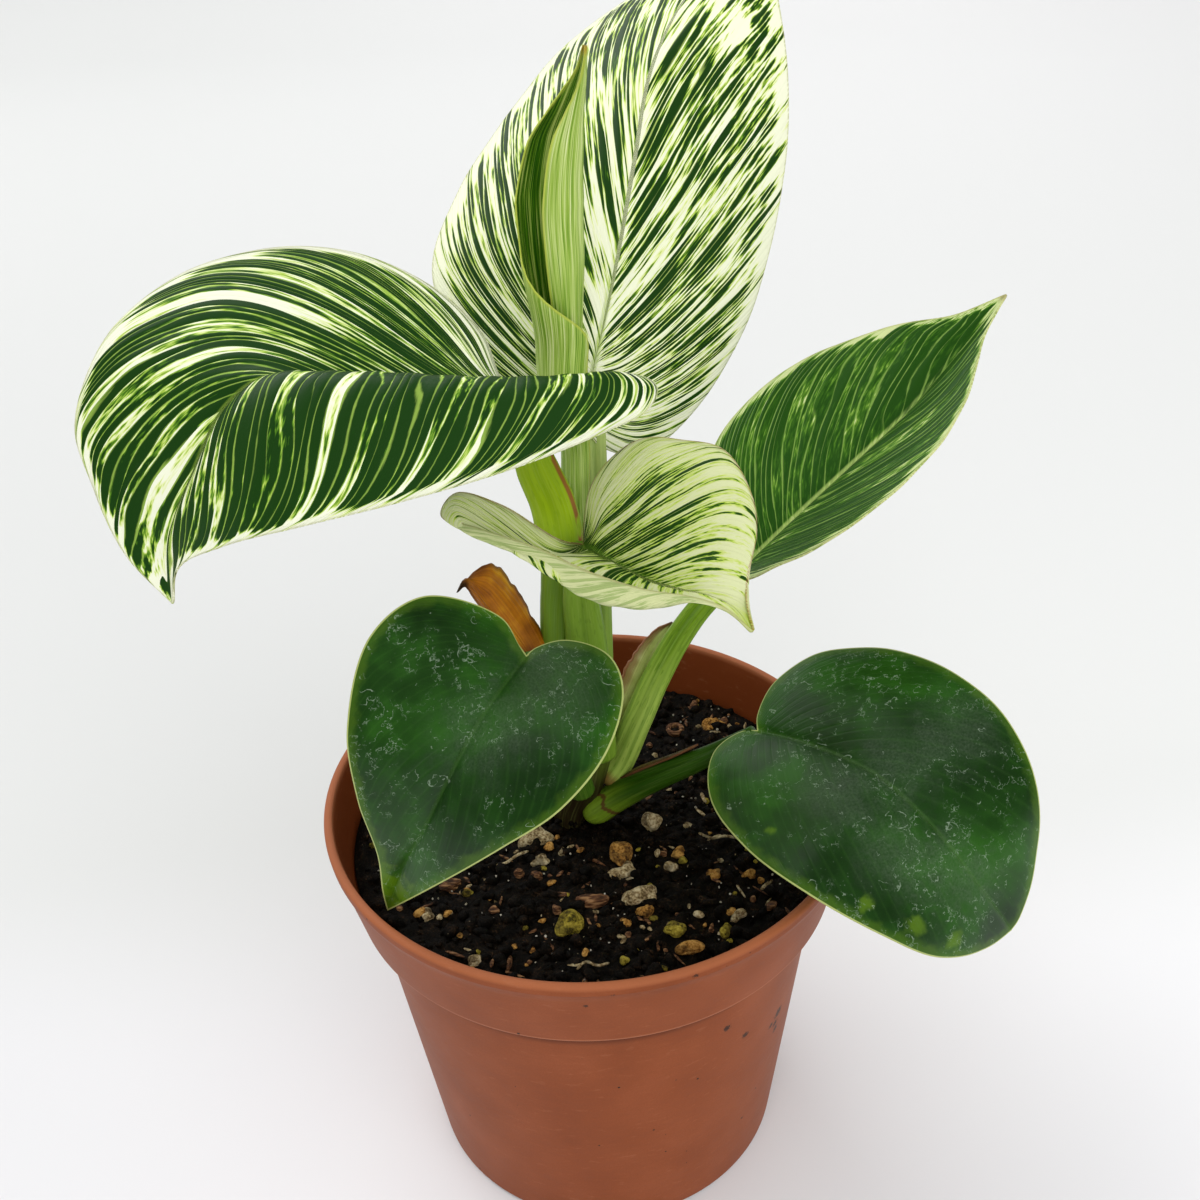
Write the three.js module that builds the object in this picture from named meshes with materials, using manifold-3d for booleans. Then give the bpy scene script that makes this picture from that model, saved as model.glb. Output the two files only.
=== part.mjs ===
// A potted philodendron birkin: a plastic nursery pot, peat soil, a short stem, six open leaves
// on their petioles, one rolled new leaf and the papery sheaths that old leaves leave behind.
// Millimetres, +Z up. The origin is the centre of the pot's underside, and the plant's front is -Y.
import * as THREE from "three";
import { mergeVertices } from "three/addons/utils/BufferGeometryUtils.js";
import Module from "manifold-3d";

const wasm = await Module();
wasm.setup();

// ---------------------------------------------------------------- driving dimensions

const GAP = 0.3; // clearance between pieces that touch
const BLADE_THICKNESS = 0.8;
const SLIVER = 0.02; // edges shorter than this are closed up after a cut

const POT_HEIGHT = 100;
const RIM_RADIUS = 60;
const RIM_LIP = 2; // width of the rim's top edge
const BAND_DEPTH = 21.5; // the stiffening band under the rim
const BAND_FOOT_RADIUS = 55.5;
const BODY_TOP_RADIUS = 51.9;
const FOOT_RADIUS = 42.7;
const FOOT_ROUNDING = 1.5;
const POT_WALL = 1.4;
const POT_SIDES = 48;
const DRAIN_HOLES = 6;
const DRAIN_HOLE_RADIUS = 4;
const DRAIN_CIRCLE_RADIUS = 33;
const NOTCH = { width: 15, length: 9, height: 1.6 }; // drain notches in the foot
const FIRST_DRAIN_ANGLE = -65; // degrees from +X towards +Y

const SOIL_LEVEL = 88;
const SOIL_ROUGHNESS = 1.1;
const SOIL_RINGS = 7;
const SOIL_SECTORS = 36;
const GRAIN_COUNT = 36;
const GRAIN_SIZE = { smallest: 1.3, largest: 3.2 };
const GRAIN_LIFT = 0.15; // share of a grain's radius that its middle stands over the soil
const BARE_RADIUS = 13; // no grains this near the stem

const PLAIN_NET = { rows: 16, halfColumns: 3 }; // net of a leaf whose halves are nearly flat
const ROLLED_NET = { rows: 18, halfColumns: 5 };
const SHEATH_NET = { rows: 9, halfColumns: 2 };
const LOBE_EASE = 1.35; // how closely the first veins crowd at the petiole
const STALK_SIDES = 10;
const STALK_STEPS = 12;

// ---------------------------------------------------------------- the plant's measured shapes

// Each leaf is a net between its midrib and its two margins. Every line starts where the petiole
// joins and ends at the tip, and the margins run round the basal lobes on their way.
// A half bulges up by `bulge`, a share of the leaf's width there, or follows a `middle` line of its
// own where it is rolled.
const leaves = {
  upper: {
    midrib: [[5.5, 16, 194.5], [11, 28, 212], [16, 42, 228.5], [21, 57.5, 242.5], [30.5, 74.5, 253],
      [44, 90.5, 260]],
    left: {
      margin: [[1.5, 12, 187], [-8, 12, 187], [-19, 16, 198], [-25.5, 28.5, 212], [-19.5, 47.5, 223],
        [-7, 68.5, 234], [6, 83.5, 243], [27, 92, 253]],
    },
    right: {
      margin: [[4, 11.5, 183], [13.5, 15.5, 175.5], [26, 27, 178], [40.5, 40.5, 195], [48, 49, 221.5],
        [49.5, 55.5, 237.5], [49, 68, 251.5], [48, 80, 258]],
    },
    bulge: 0.025,
  },
  left: {
    midrib: [[-10, 0, 197.5], [-22, 0, 199], [-35, 0, 200.5], [-46, -1, 203.5], [-55.5, -2, 205.5],
      [-64, -4, 200.5], [-70.5, -8, 190.5], [-77, -11, 178.5], [-79, -14, 164.5]],
    left: {
      middle: [[-5, -3, 201.5], [5, -7, 204.5], [3, -8.5, 205.5], [-12, -9.5, 206], [-30, -10, 207],
        [-48.5, -11, 205], [-60, -13, 197], [-69.5, -14, 185.5], [-76.5, -14, 173.5]],
      margin: [[-1, -4, 201.5], [13.5, -9, 205], [16.5, -12, 203.8], [14.5, -15.5, 201.3], [7, -18, 198.8],
        [-10, -22, 194.5], [-31, -25, 190.5], [-50, -25, 186.5], [-65, -20, 180.5], [-76, -15, 173]],
    },
    right: {
      middle: [[-13.5, 2, 199.5], [-24, 11, 204.5], [-37, 13, 210], [-50, 13, 212.5], [-63, 10, 212.5],
        [-74.5, 3, 206], [-80.5, -3, 193.5], [-82, -8, 180]],
      margin: [[-12.5, 4, 200], [-16, 12, 206.5], [-28.5, 24, 213.5], [-43.5, 28, 218.5], [-59, 26, 220],
        [-73.5, 20, 218], [-87, 10, 210.5], [-94, 1, 196.5], [-92, -4, 186.5], [-87, -10, 174]],
    },
    net: ROLLED_NET,
  },
  middle: {
    midrib: [[1.5, -8, 169], [7, -14, 168.5], [13, -20, 168], [19, -25, 168.5], [24.5, -29, 169],
      [29, -31, 167], [32, -32, 162.5]],
    left: {
      middle: [[3, -8, 172], [6, -7, 176], [13, -11, 178], [20, -16, 178], [25.5, -20, 177],
        [28, -25, 174], [30.5, -29, 170]],
      margin: [[2, -6, 173.5], [3.5, -3, 178.5], [7, 0, 182.5], [13.5, 2, 186], [22.5, -1, 187],
        [29.5, -6, 187], [33.5, -14, 182.5], [34, -21, 177], [31.5, -27, 172], [31, -31, 168]],
    },
    right: {
      middle: [[-3, -12, 168], [-12.5, -11, 171.5], [-16.5, -14, 175], [-7, -20, 173], [2, -25, 167.5],
        [11.5, -30, 168], [20.5, -32, 170], [26.5, -33, 168.5]],
      margin: [[-3, -10, 171.5], [-14, -8, 179], [-22.5, -7, 181.5], [-25.5, -10, 178.5], [-18, -14, 177.5],
        [-6.5, -18, 174.5], [1.5, -23, 172.5], [11.5, -28, 171], [20.5, -31, 170.5], [26.5, -33, 169]],
    },
    net: ROLLED_NET,
  },
  right: {
    midrib: [[36.5, 14, 147.5], [48.5, 19, 156.5], [60.5, 23.5, 165.5], [72.5, 27, 175.5], [83, 30.5, 186.5],
      [93, 33, 199]],
    left: {
      margin: [[32, 19.5, 149.5], [29.5, 29, 156], [33, 38.5, 165.5], [48, 45, 178], [69.5, 41.5, 189],
        [83.5, 35.5, 194]],
    },
    right: {
      margin: [[35.5, 9, 147.5], [40, -0.5, 155.5], [54, -6.5, 168], [69, -0.5, 177.5], [80, 10, 186],
        [87, 25.5, 192.5]],
    },
    bulge: 0.011,
  },
  frontLeft: {
    midrib: [[-11, -18, 150], [-19.5, -27.5, 144], [-27, -34, 134], [-33.5, -36.5, 122], [-39.5, -34.5, 109],
      [-44, -31.5, 96]],
    left: {
      margin: [[-9, -17, 151], [-3, -17, 152.5], [5, -22, 152], [7.5, -29.5, 149], [3.5, -41, 143],
        [-5.5, -47.5, 135.5], [-17.5, -47, 126], [-34.5, -40, 109]],
    },
    right: {
      margin: [[-12.5, -17, 152], [-15.5, -14.5, 157], [-30, -15, 163.5], [-40.5, -22, 159.5],
        [-46, -31.5, 144.5], [-45.5, -35, 130], [-43.5, -35, 115], [-44, -33, 102.5]],
    },
    bulge: 0.022,
  },
  frontRight: {
    midrib: [[36.5, -10, 121], [47, -20, 124], [58, -30.5, 124], [67.5, -40.5, 118.5], [76, -46, 107.5],
      [84, -46.5, 94.5]],
    left: {
      margin: [[37, -6.5, 122.5], [41.5, -0.5, 126.5], [51, 2, 131.5], [65.5, -3.5, 135.5], [77.5, -13, 135],
        [86, -23.5, 130], [90, -33.5, 120.5], [89.5, -39.5, 107], [86, -45, 97]],
    },
    right: {
      margin: [[33, -9, 120], [27, -12, 117.5], [25, -23, 114.5], [30.5, -37.5, 113.5], [41, -51, 113],
        [54.5, -56, 106], [66.5, -56, 98.5], [77.5, -51, 94.5]],
    },
    bulge: 0.022,
  },
};

// A stalk follows `path`; `widths` and `depths` are its full sizes at even steps along it, and
// `facing` is the side that its flatter, grooved face looks to.
const stalks = {
  stem: {
    path: [[-5, 3, 76], [-5, 3, 90], [-2, 1.5, 101], [0, 0.5, 112]],
    facing: [0, -1, 0],
    widths: [8, 8, 11, 12],
    depths: [8, 8, 10, 10],
  },
  middlePetiole: {
    path: [[2, -1, 108], [1.2, -1.5, 125], [1, -2.5, 142], [0.4, -5, 156], [1.2, -8, 168.3]],
    facing: [0, -1, 0.2],
    widths: [9, 10, 9, 7.5, 4.5],
    depths: [6, 6.5, 6, 5, 3.6],
  },
  leftPetiole: {
    path: [[-3.5, 1, 108], [-5.4, 1, 135], [-4.6, 0.5, 150], [-3, -0.5, 163], [-4, -1, 174], [-6.8, -0.5, 183],
      [-9.6, 0, 196.8]],
    facing: [0, -1, 0.2],
    widths: [7, 7, 6.5, 7, 9.5, 8.5, 4.5],
    depths: [6, 6, 5.5, 4.5, 4, 4, 3.6],
  },
  upperPetiole: {
    path: [[3, 5, 108], [3.6, 6, 135], [4.4, 9, 160], [5, 12.5, 178], [5.5, 15.6, 193.6]],
    facing: [0, -1, 0.3],
    widths: [6, 6.5, 6, 5, 4.5],
    depths: [5, 5, 4.5, 4, 3.6],
  },
  rightPetiole: {
    path: [[3, 2, 99], [6.7, 3.5, 103], [11.5, 5, 114], [15.9, 7.5, 123], [21.8, 10, 133], [27.6, 12, 140],
      [36, 13.8, 146.6]],
    facing: [-0.4, -0.5, 0.8],
    widths: [7, 7.2, 7, 6.5, 6, 5.5, 4.4],
    depths: [5.5, 5.5, 5.2, 5, 4.6, 4.2, 3.6],
  },
  frontLeftPetiole: {
    path: [[-1.5, -3, 100], [-4.5, -7.5, 118], [-8, -13, 136], [-10.8, -17.6, 149]],
    facing: [0, -0.6, 0.8],
    widths: [6, 5, 4.4, 3.8],
    depths: [5, 4.4, 4, 3.4],
  },
  frontRightPetiole: {
    path: [[-1.5, -0.8, 91.3], [6.8, -1.5, 98], [15.8, -4, 105], [25.6, -7, 112], [35.8, -9.6, 120.2]],
    facing: [-0.4, -0.3, 0.8],
    widths: [7.5, 7.2, 6, 4.6, 3.2],
    depths: [6.5, 6, 5, 4.2, 3],
  },
};

// The rolled new leaf is a sheet wound round an axis. `rings` are the axis's points with the roll's
// outer radius there. The angles are where the sheet's two margins stand at shares of the roll's
// height, in degrees from +X towards +Y.
const rolledLeaf = {
  rings: [[0.4, 4.5, 128, 1.7], [0.4, 4.5, 157, 2.6], [0.4, 4.5, 172, 3], [1, 4.8, 185.4, 3],
    [0, 5, 192, 3.9], [-0.8, 5.4, 200, 5.2], [-0.4, 5.8, 208.5, 5.6], [-0.6, 6.5, 219.5, 6.2],
    [-0.6, 8, 233, 6.7], [1, 9.5, 243, 5.4], [3, 10.5, 248.6, 3.3], [5.4, 11.5, 254.8, 1.3],
    [6.4, 12, 258.8, 0.6]],
  outerMargin: [[0, 340], [0.58, 340], [0.74, 180], [0.88, 170], [1, 100]],
  innerMargin: [[0, -20], [0.35, -20], [0.58, -112], [0.88, -112], [1, -60]],
  inwardPerTurn: 0.36, // share of the radius lost in one turn
  steps: 21,
  turnSteps: 16,
};

// Thin papery strips, built as leaves are: a midrib between two margins.
const sheaths = {
  dried: {
    midrib: [[-6, -3, 122], [-11.5, -4, 139], [-16.5, -5, 149.5], [-20, -5, 157], [-22.5, -5, 160.5],
      [-24.5, -6, 158]],
    left: {
      margin: [[-8.5, -2, 122], [-14, -2, 139.5], [-18, -3, 148], [-21.5, -3.5, 155.5], [-23, -4.5, 158.5]],
    },
    right: {
      margin: [[-3, 0, 122], [-8.5, 0, 143], [-11.5, 1, 150.5], [-15.5, 1, 158], [-18.5, -1, 161.5]],
    },
    bulge: 0.1,
    net: SHEATH_NET,
  },
  right: {
    midrib: [[4.5, 6.5, 99], [8, 7.5, 110], [12, 10, 120], [16, 13, 128], [20.5, 15, 133.2]],
    left: {
      margin: [[2.5, 5.5, 100], [3.6, 6.6, 108], [7, 9, 119.6], [12, 12, 128], [16.5, 14.5, 131.5]],
    },
    right: {
      margin: [[8, 8, 100], [12, 9, 109], [16, 11.5, 118], [20, 14, 127], [21, 15, 131.5]],
    },
    bulge: -0.1,
    net: SHEATH_NET,
  },
  frontRight: {
    midrib: [[7, -0.4, 101.9], [9.4, -0.8, 104], [14.3, -2.3, 107.6], [20.6, -4.3, 112], [24.2, -5.4, 114.4]],
    left: {
      margin: [[9.5, -2.2, 104.6], [14.4, -3.7, 108.2], [20.7, -5.6, 112.5]],
    },
    right: {
      margin: [[9.8, 0.8, 102.1], [14.6, -0.8, 105.7], [20.9, -3, 110.3]],
    },
    bulge: 0.07,
    net: SHEATH_NET,
  },
};

// ---------------------------------------------------------------- helpers

const vec = ([x, y, z]) => new THREE.Vector3(x, y, z);
const curveThrough = (points) => new THREE.CatmullRomCurve3(points.map(vec));

/** Value at `t` of a list of numbers spread evenly from 0 to 1. */
function spread(values, t) {
  const place = t * (values.length - 1);
  const index = Math.min(Math.floor(place), values.length - 2);
  return THREE.MathUtils.lerp(values[index], values[index + 1], place - index);
}

/** Value at `t` of a list of [t, value] steps, eased between them. */
function eased(steps, t) {
  const next = Math.max(1, steps.findIndex(([at]) => at >= t));
  const [from, start] = steps[next - 1];
  const [to, end] = steps[next];
  return THREE.MathUtils.lerp(start, end, THREE.MathUtils.smoothstep(t, from, to));
}

/** A seeded random number source, so that every build is alike. */
function randomSource(seed) {
  let state = seed;
  return () => {
    state = (state * 1664525 + 1013904223) % 4294967296;
    return state / 4294967296;
  };
}

/** A closed geometry as a manifold-3d solid. */
function solidOf(geometry) {
  const bare = geometry.clone();
  bare.deleteAttribute("normal");
  bare.deleteAttribute("uv");
  const merged = mergeVertices(bare, 1e-4);
  const corners = Array.from(merged.index.array);
  const triVerts = [];
  for (let i = 0; i < corners.length; i += 3) {
    const [a, b, c] = corners.slice(i, i + 3);
    if (a !== b && b !== c && c !== a) triVerts.push(a, b, c);
  }
  return new wasm.Manifold(new wasm.Mesh({
    numProp: 3,
    vertProperties: new Float32Array(merged.attributes.position.array),
    triVerts: new Uint32Array(triVerts),
  }));
}

/** A manifold-3d solid as a geometry for a mesh. */
function geometryOf(solid) {
  const { vertProperties, triVerts } = solid.getMesh();
  const geometry = new THREE.BufferGeometry();
  geometry.setAttribute("position", new THREE.BufferAttribute(new Float32Array(vertProperties), 3));
  geometry.setIndex(new THREE.BufferAttribute(new Uint32Array(triVerts), 1));
  return geometry;
}

/** The largest single body of a solid: cuts can leave loose scraps, and those are dropped. */
function largestBody(solid) {
  return solid.decompose().reduce((best, body) => (body.volume() > best.volume() ? body : best));
}

/** `solid` cut back from each of `cutters`, without the slivers that cuts leave. */
function cutBack(solid, ...cutters) {
  const rest = cutters.reduce((body, cutter) => body.subtract(cutter), solid);
  return largestBody(rest.simplify(SLIVER));
}

/** A closed body one blade thick from a net of points, with half of it on each side of the net. */
function thicken(net) {
  const columns = net[0].length;
  const quads = [];
  for (let row = 0; row < net.length - 1; row += 1) {
    for (let column = 0; column < columns - 1; column += 1) {
      const corner = row * columns + column;
      quads.push(corner, corner + 1, corner + columns + 1, corner, corner + columns + 1, corner + columns);
    }
  }
  const sheet = new THREE.BufferGeometry().setFromPoints(net.flat());
  sheet.setIndex(quads);
  const merged = mergeVertices(sheet, 1e-3);
  const face = Array.from(merged.index.array);
  const triangles = [];
  for (let i = 0; i < face.length; i += 3) {
    const [a, b, c] = face.slice(i, i + 3);
    if (a !== b && b !== c && c !== a) triangles.push([a, b, c]);
  }
  merged.setIndex(triangles.flat());
  merged.computeVertexNormals();

  const { position, normal } = merged.attributes;
  const points = [];
  for (const side of [0.5, -0.5]) {
    for (let i = 0; i < position.count; i += 1) {
      const out = new THREE.Vector3().fromBufferAttribute(normal, i);
      const point = new THREE.Vector3().fromBufferAttribute(position, i);
      points.push(point.addScaledVector(out, side * BLADE_THICKNESS));
    }
  }
  const under = position.count;
  const edges = new Set(triangles.flatMap(([a, b, c]) => [`${a},${b}`, `${b},${c}`, `${c},${a}`]));
  const faces = [];
  for (const [a, b, c] of triangles) {
    faces.push(a, b, c, c + under, b + under, a + under);
    for (const [from, to] of [[a, b], [b, c], [c, a]]) {
      if (!edges.has(`${to},${from}`)) {
        faces.push(to, from, from + under, to, from + under, to + under);
      }
    }
  }
  const body = new THREE.BufferGeometry().setFromPoints(points);
  body.setIndex(faces);
  return body;
}

/** The net of one leaf, in rows from the petiole to the tip and columns from left to right. */
function leafNet({ midrib, left, right, bulge = 0, net: size = PLAIN_NET }) {
  const spine = curveThrough(midrib);
  const start = midrib[0];
  const end = midrib[midrib.length - 1];
  const lines = [left, right].map(({ margin, middle }) => ({
    margin: curveThrough([start, ...margin, end]),
    middle: middle && curveThrough([start, ...middle, end]),
  }));
  const net = [];
  for (let row = 0; row <= size.rows; row += 1) {
    const t = row / size.rows;
    const foot = spine.getPointAt(t ** LOBE_EASE);
    const edges = lines.map(({ margin }) => margin.getPointAt(t));
    const across = edges[1].clone().sub(edges[0]);
    const rise = across.cross(spine.getTangentAt(t ** LOBE_EASE)).multiplyScalar(bulge);
    const halves = lines.map(({ middle }, side) => {
      const halfway = foot.clone().lerp(edges[side], 0.5);
      const belly = middle ? middle.getPointAt(t) : halfway.add(rise);
      return (share) => bend(foot, belly, edges[side], share);
    });
    const line = [];
    const columns = size.halfColumns;
    for (let column = columns; column > 0; column -= 1) line.push(halves[0](column / columns));
    for (let column = 0; column <= columns; column += 1) line.push(halves[1](column / columns));
    net.push(line);
  }
  return net;
}

/** The point at `share` of the parabola that starts at `a`, is at `b` halfway and ends at `c`. */
function bend(a, b, c, share) {
  return new THREE.Vector3()
    .addScaledVector(a, (1 - share) * (1 - 2 * share))
    .addScaledVector(b, 4 * share * (1 - share))
    .addScaledVector(c, share * (2 * share - 1));
}

const leafSolid = (leaf) => solidOf(thicken(leafNet(leaf)));

/** A leaf's solid with clearance all round it, to cut back what it touches. */
function grownLeaf(leaf) {
  const blade = leafSolid(leaf);
  const shifts = [-GAP, GAP].flatMap((step) => [[step, 0, 0], [0, step, 0], [0, 0, step]]);
  return shifts.reduce((body, shift) => body.add(blade.translate(shift)), blade);
}

/** A tapering stalk of rounded section, `grow` larger all round. */
function stalkSolid({ path, facing, widths, depths }, grow = 0) {
  const curve = curveThrough(path);
  const front = vec(facing);
  const points = [];
  for (let step = 0; step <= STALK_STEPS; step += 1) {
    const t = step / STALK_STEPS;
    const along = curve.getTangentAt(t);
    const side = front.clone().cross(along).normalize();
    const out = along.clone().cross(side).normalize();
    const centre = curve.getPointAt(t);
    if (step === 0) centre.addScaledVector(along, -grow);
    if (step === STALK_STEPS) centre.addScaledVector(along, grow);
    for (let corner = 0; corner < STALK_SIDES; corner += 1) {
      const angle = (corner / STALK_SIDES) * Math.PI * 2;
      const x = Math.cos(angle) * (spread(widths, t) / 2 + grow);
      const y = Math.sin(angle) * (spread(depths, t) / 2 + grow);
      points.push(centre.clone().addScaledVector(side, x).addScaledVector(out, y));
    }
  }
  const faces = [];
  for (let step = 0; step < STALK_STEPS; step += 1) {
    for (let corner = 0; corner < STALK_SIDES; corner += 1) {
      const a = step * STALK_SIDES + corner;
      const b = step * STALK_SIDES + ((corner + 1) % STALK_SIDES);
      faces.push(a, b, b + STALK_SIDES, a, b + STALK_SIDES, a + STALK_SIDES);
    }
  }
  const last = STALK_STEPS * STALK_SIDES;
  for (let corner = 1; corner < STALK_SIDES - 1; corner += 1) {
    faces.push(0, corner + 1, corner, last, last + corner, last + corner + 1);
  }
  const body = new THREE.BufferGeometry().setFromPoints(points);
  body.setIndex(faces);
  return solidOf(body);
}

// ---------------------------------------------------------------- pieces

/** A closed surface of revolution about +Z from [radius, height] points that start and end on the axis. */
function turned(profile, segments) {
  const geometry = new THREE.LatheGeometry(profile.map(([radius, height]) => new THREE.Vector2(radius, height)),
    segments);
  return geometry.rotateX(Math.PI / 2);
}

const BAND_FOOT = POT_HEIGHT - BAND_DEPTH;
const BAND_INSIDE = BAND_FOOT + 4; // height where the inside wall steps out into the band

/** The pot's inside radius at a height. */
function potInnerRadius(height) {
  if (height <= BAND_FOOT) {
    return THREE.MathUtils.mapLinear(height, 0, BAND_FOOT, FOOT_RADIUS, BODY_TOP_RADIUS) - POT_WALL;
  }
  const bandRadius = BAND_FOOT_RADIUS - POT_WALL;
  return THREE.MathUtils.mapLinear(height, BAND_INSIDE, POT_HEIGHT, bandRadius, RIM_RADIUS - RIM_LIP);
}

function potSolid() {
  const shell = solidOf(turned([
    [0, 0],
    [FOOT_RADIUS - FOOT_ROUNDING, 0],
    [FOOT_RADIUS, FOOT_ROUNDING],
    [BODY_TOP_RADIUS, BAND_FOOT],
    [BAND_FOOT_RADIUS, BAND_FOOT + 0.6],
    [RIM_RADIUS - 0.4, POT_HEIGHT - 3],
    [RIM_RADIUS, POT_HEIGHT - 0.8],
    [RIM_RADIUS - 0.4, POT_HEIGHT],
    [potInnerRadius(POT_HEIGHT), POT_HEIGHT],
    [potInnerRadius(BAND_INSIDE), BAND_INSIDE],
    [potInnerRadius(BAND_FOOT), BAND_FOOT],
    [potInnerRadius(POT_WALL), POT_WALL],
    [0, POT_WALL],
  ], POT_SIDES));
  const cutters = [];
  for (let hole = 0; hole < DRAIN_HOLES; hole += 1) {
    const angle = THREE.MathUtils.degToRad(FIRST_DRAIN_ANGLE + (360 * hole) / DRAIN_HOLES);
    const drain = new THREE.CylinderGeometry(DRAIN_HOLE_RADIUS, DRAIN_HOLE_RADIUS, 4 * POT_WALL, 12);
    drain.rotateX(Math.PI / 2);
    drain.translate(DRAIN_CIRCLE_RADIUS, 0, 0);
    drain.rotateZ(angle);
    cutters.push(solidOf(drain));
    const notch = new THREE.BoxGeometry(NOTCH.length, NOTCH.width, NOTCH.height);
    notch.translate(FOOT_RADIUS, 0, 0);
    notch.rotateZ(angle);
    cutters.push(solidOf(notch));
  }
  return cutBack(shell, ...cutters);
}

/** Peat with an uneven top and half-sunk grains of pumice and bark, and a plain hole for the stem. */
function soilSolid(stemHole) {
  const random = randomSource(7);
  const edgeHeight = SOIL_LEVEL - SOIL_ROUGHNESS;
  const topRadius = potInnerRadius(edgeHeight) - GAP;
  const floor = POT_WALL + GAP;
  const profile = [
    [0, floor],
    [potInnerRadius(floor) - GAP, floor],
    [potInnerRadius(BAND_FOOT) - GAP, BAND_FOOT],
    [potInnerRadius(BAND_INSIDE) - GAP, BAND_INSIDE],
    [topRadius, edgeHeight],
  ];
  for (let ring = SOIL_RINGS - 1; ring >= 0; ring -= 1) {
    profile.push([(topRadius * ring) / SOIL_RINGS, SOIL_LEVEL]);
  }
  const peat = turned(profile, SOIL_SECTORS);
  const spots = peat.attributes.position;
  for (let i = 0; i < spots.count; i += 1) {
    if (spots.getZ(i) === SOIL_LEVEL) spots.setZ(i, soilHeight(spots.getX(i), spots.getY(i)));
  }
  let soil = solidOf(peat);
  for (let grain = 0; grain < GRAIN_COUNT; grain += 1) {
    const radius = THREE.MathUtils.lerp(GRAIN_SIZE.smallest, GRAIN_SIZE.largest, random() ** 2);
    const distance = THREE.MathUtils.lerp(BARE_RADIUS, topRadius - GRAIN_SIZE.largest, Math.sqrt(random()));
    const angle = random() * Math.PI * 2;
    const lump = new THREE.IcosahedronGeometry(radius, 0);
    lump.scale(1, 0.7 + 0.6 * random(), 0.6 + 0.3 * random());
    lump.rotateZ(random() * Math.PI);
    const x = distance * Math.cos(angle);
    const y = distance * Math.sin(angle);
    lump.translate(x, y, soilHeight(x, y) + GRAIN_LIFT * radius);
    soil = soil.add(solidOf(lump));
  }
  return cutBack(soil, stemHole);
}

/** Height of the soil's uneven top. */
function soilHeight(x, y) {
  const broad = Math.sin(x * 0.13 + 1.1) * Math.cos(y * 0.11 - 0.6);
  const fine = Math.sin(x * 0.43 - y * 0.29) * Math.cos(y * 0.37 + x * 0.17);
  return SOIL_LEVEL + SOIL_ROUGHNESS * (0.6 * broad + 0.4 * fine);
}

/** The rolled leaf: a sheet wound inwards round its axis, with its outer edge winding down. */
function rolledLeafSolid() {
  const axis = curveThrough(rolledLeaf.rings);
  const radii = rolledLeaf.rings.map(([, , , radius]) => radius);
  const net = [];
  for (let step = 0; step <= rolledLeaf.steps; step += 1) {
    const t = (step / rolledLeaf.steps) ** 0.7; // fewer rows in the plain lower part
    const place = axis.getUtoTmapping(t);
    const centre = axis.getPoint(place);
    const radius = spread(radii, place);
    const outer = THREE.MathUtils.degToRad(eased(rolledLeaf.outerMargin, t));
    const inner = THREE.MathUtils.degToRad(eased(rolledLeaf.innerMargin, t));
    const line = [];
    for (let turn = 0; turn <= rolledLeaf.turnSteps; turn += 1) {
      const angle = THREE.MathUtils.lerp(outer, inner, turn / rolledLeaf.turnSteps);
      const reach = radius * (1 - (rolledLeaf.inwardPerTurn * (outer - angle)) / (2 * Math.PI));
      const spoke = new THREE.Vector3(Math.cos(angle), Math.sin(angle), 0);
      line.push(centre.clone().addScaledVector(spoke, reach));
    }
    net.push(line);
  }
  return solidOf(thicken(net));
}

// ---------------------------------------------------------------- assembly

const plant = new THREE.Group();

/** Adds one named mesh with its own material. */
function addPiece(name, solid, color, roughness) {
  const material = new THREE.MeshStandardMaterial({ color, roughness, metalness: 0 });
  const mesh = new THREE.Mesh(geometryOf(solid), material);
  mesh.name = name;
  plant.add(mesh);
}

const grown = (stalk) => stalkSolid(stalk, GAP);

// The middle petiole stands whole on the stem, and each later stalk gives way to those before it.
const stemRoom = grown(stalks.stem);
const middleRoom = grown(stalks.middlePetiole);
const leftRoom = grown(stalks.leftPetiole);
const upperRoom = grown(stalks.upperPetiole);
const rightRoom = grown(stalks.rightPetiole);

addPiece("pot", potSolid(), "#b5684f", 0.55);
addPiece("soil", soilSolid(stemRoom), "#1d1917", 0.95);
addPiece("stem", stalkSolid(stalks.stem), "#7f9a4e", 0.5);

addPiece("middle_leaf_petiole",
  cutBack(stalkSolid(stalks.middlePetiole), stemRoom, grownLeaf(leaves.middle)), "#7d9b3c", 0.45);
addPiece("left_leaf_petiole",
  cutBack(stalkSolid(stalks.leftPetiole), stemRoom, middleRoom, grownLeaf(leaves.left),
    grownLeaf(leaves.middle)), "#9fb61f", 0.45);
addPiece("upper_leaf_petiole",
  cutBack(stalkSolid(stalks.upperPetiole), stemRoom, middleRoom, leftRoom, grownLeaf(leaves.upper)),
  "#a9bf6b", 0.45);
addPiece("right_leaf_petiole",
  cutBack(stalkSolid(stalks.rightPetiole), stemRoom, middleRoom, upperRoom, grownLeaf(leaves.right)),
  "#7fa02a", 0.45);
addPiece("front_left_leaf_petiole",
  cutBack(stalkSolid(stalks.frontLeftPetiole), stemRoom, middleRoom, grownLeaf(leaves.frontLeft)),
  "#4f7a26", 0.45);
addPiece("front_right_leaf_petiole",
  cutBack(stalkSolid(stalks.frontRightPetiole), stemRoom, rightRoom, grownLeaf(leaves.frontRight)),
  "#3f6a1c", 0.45);

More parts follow.
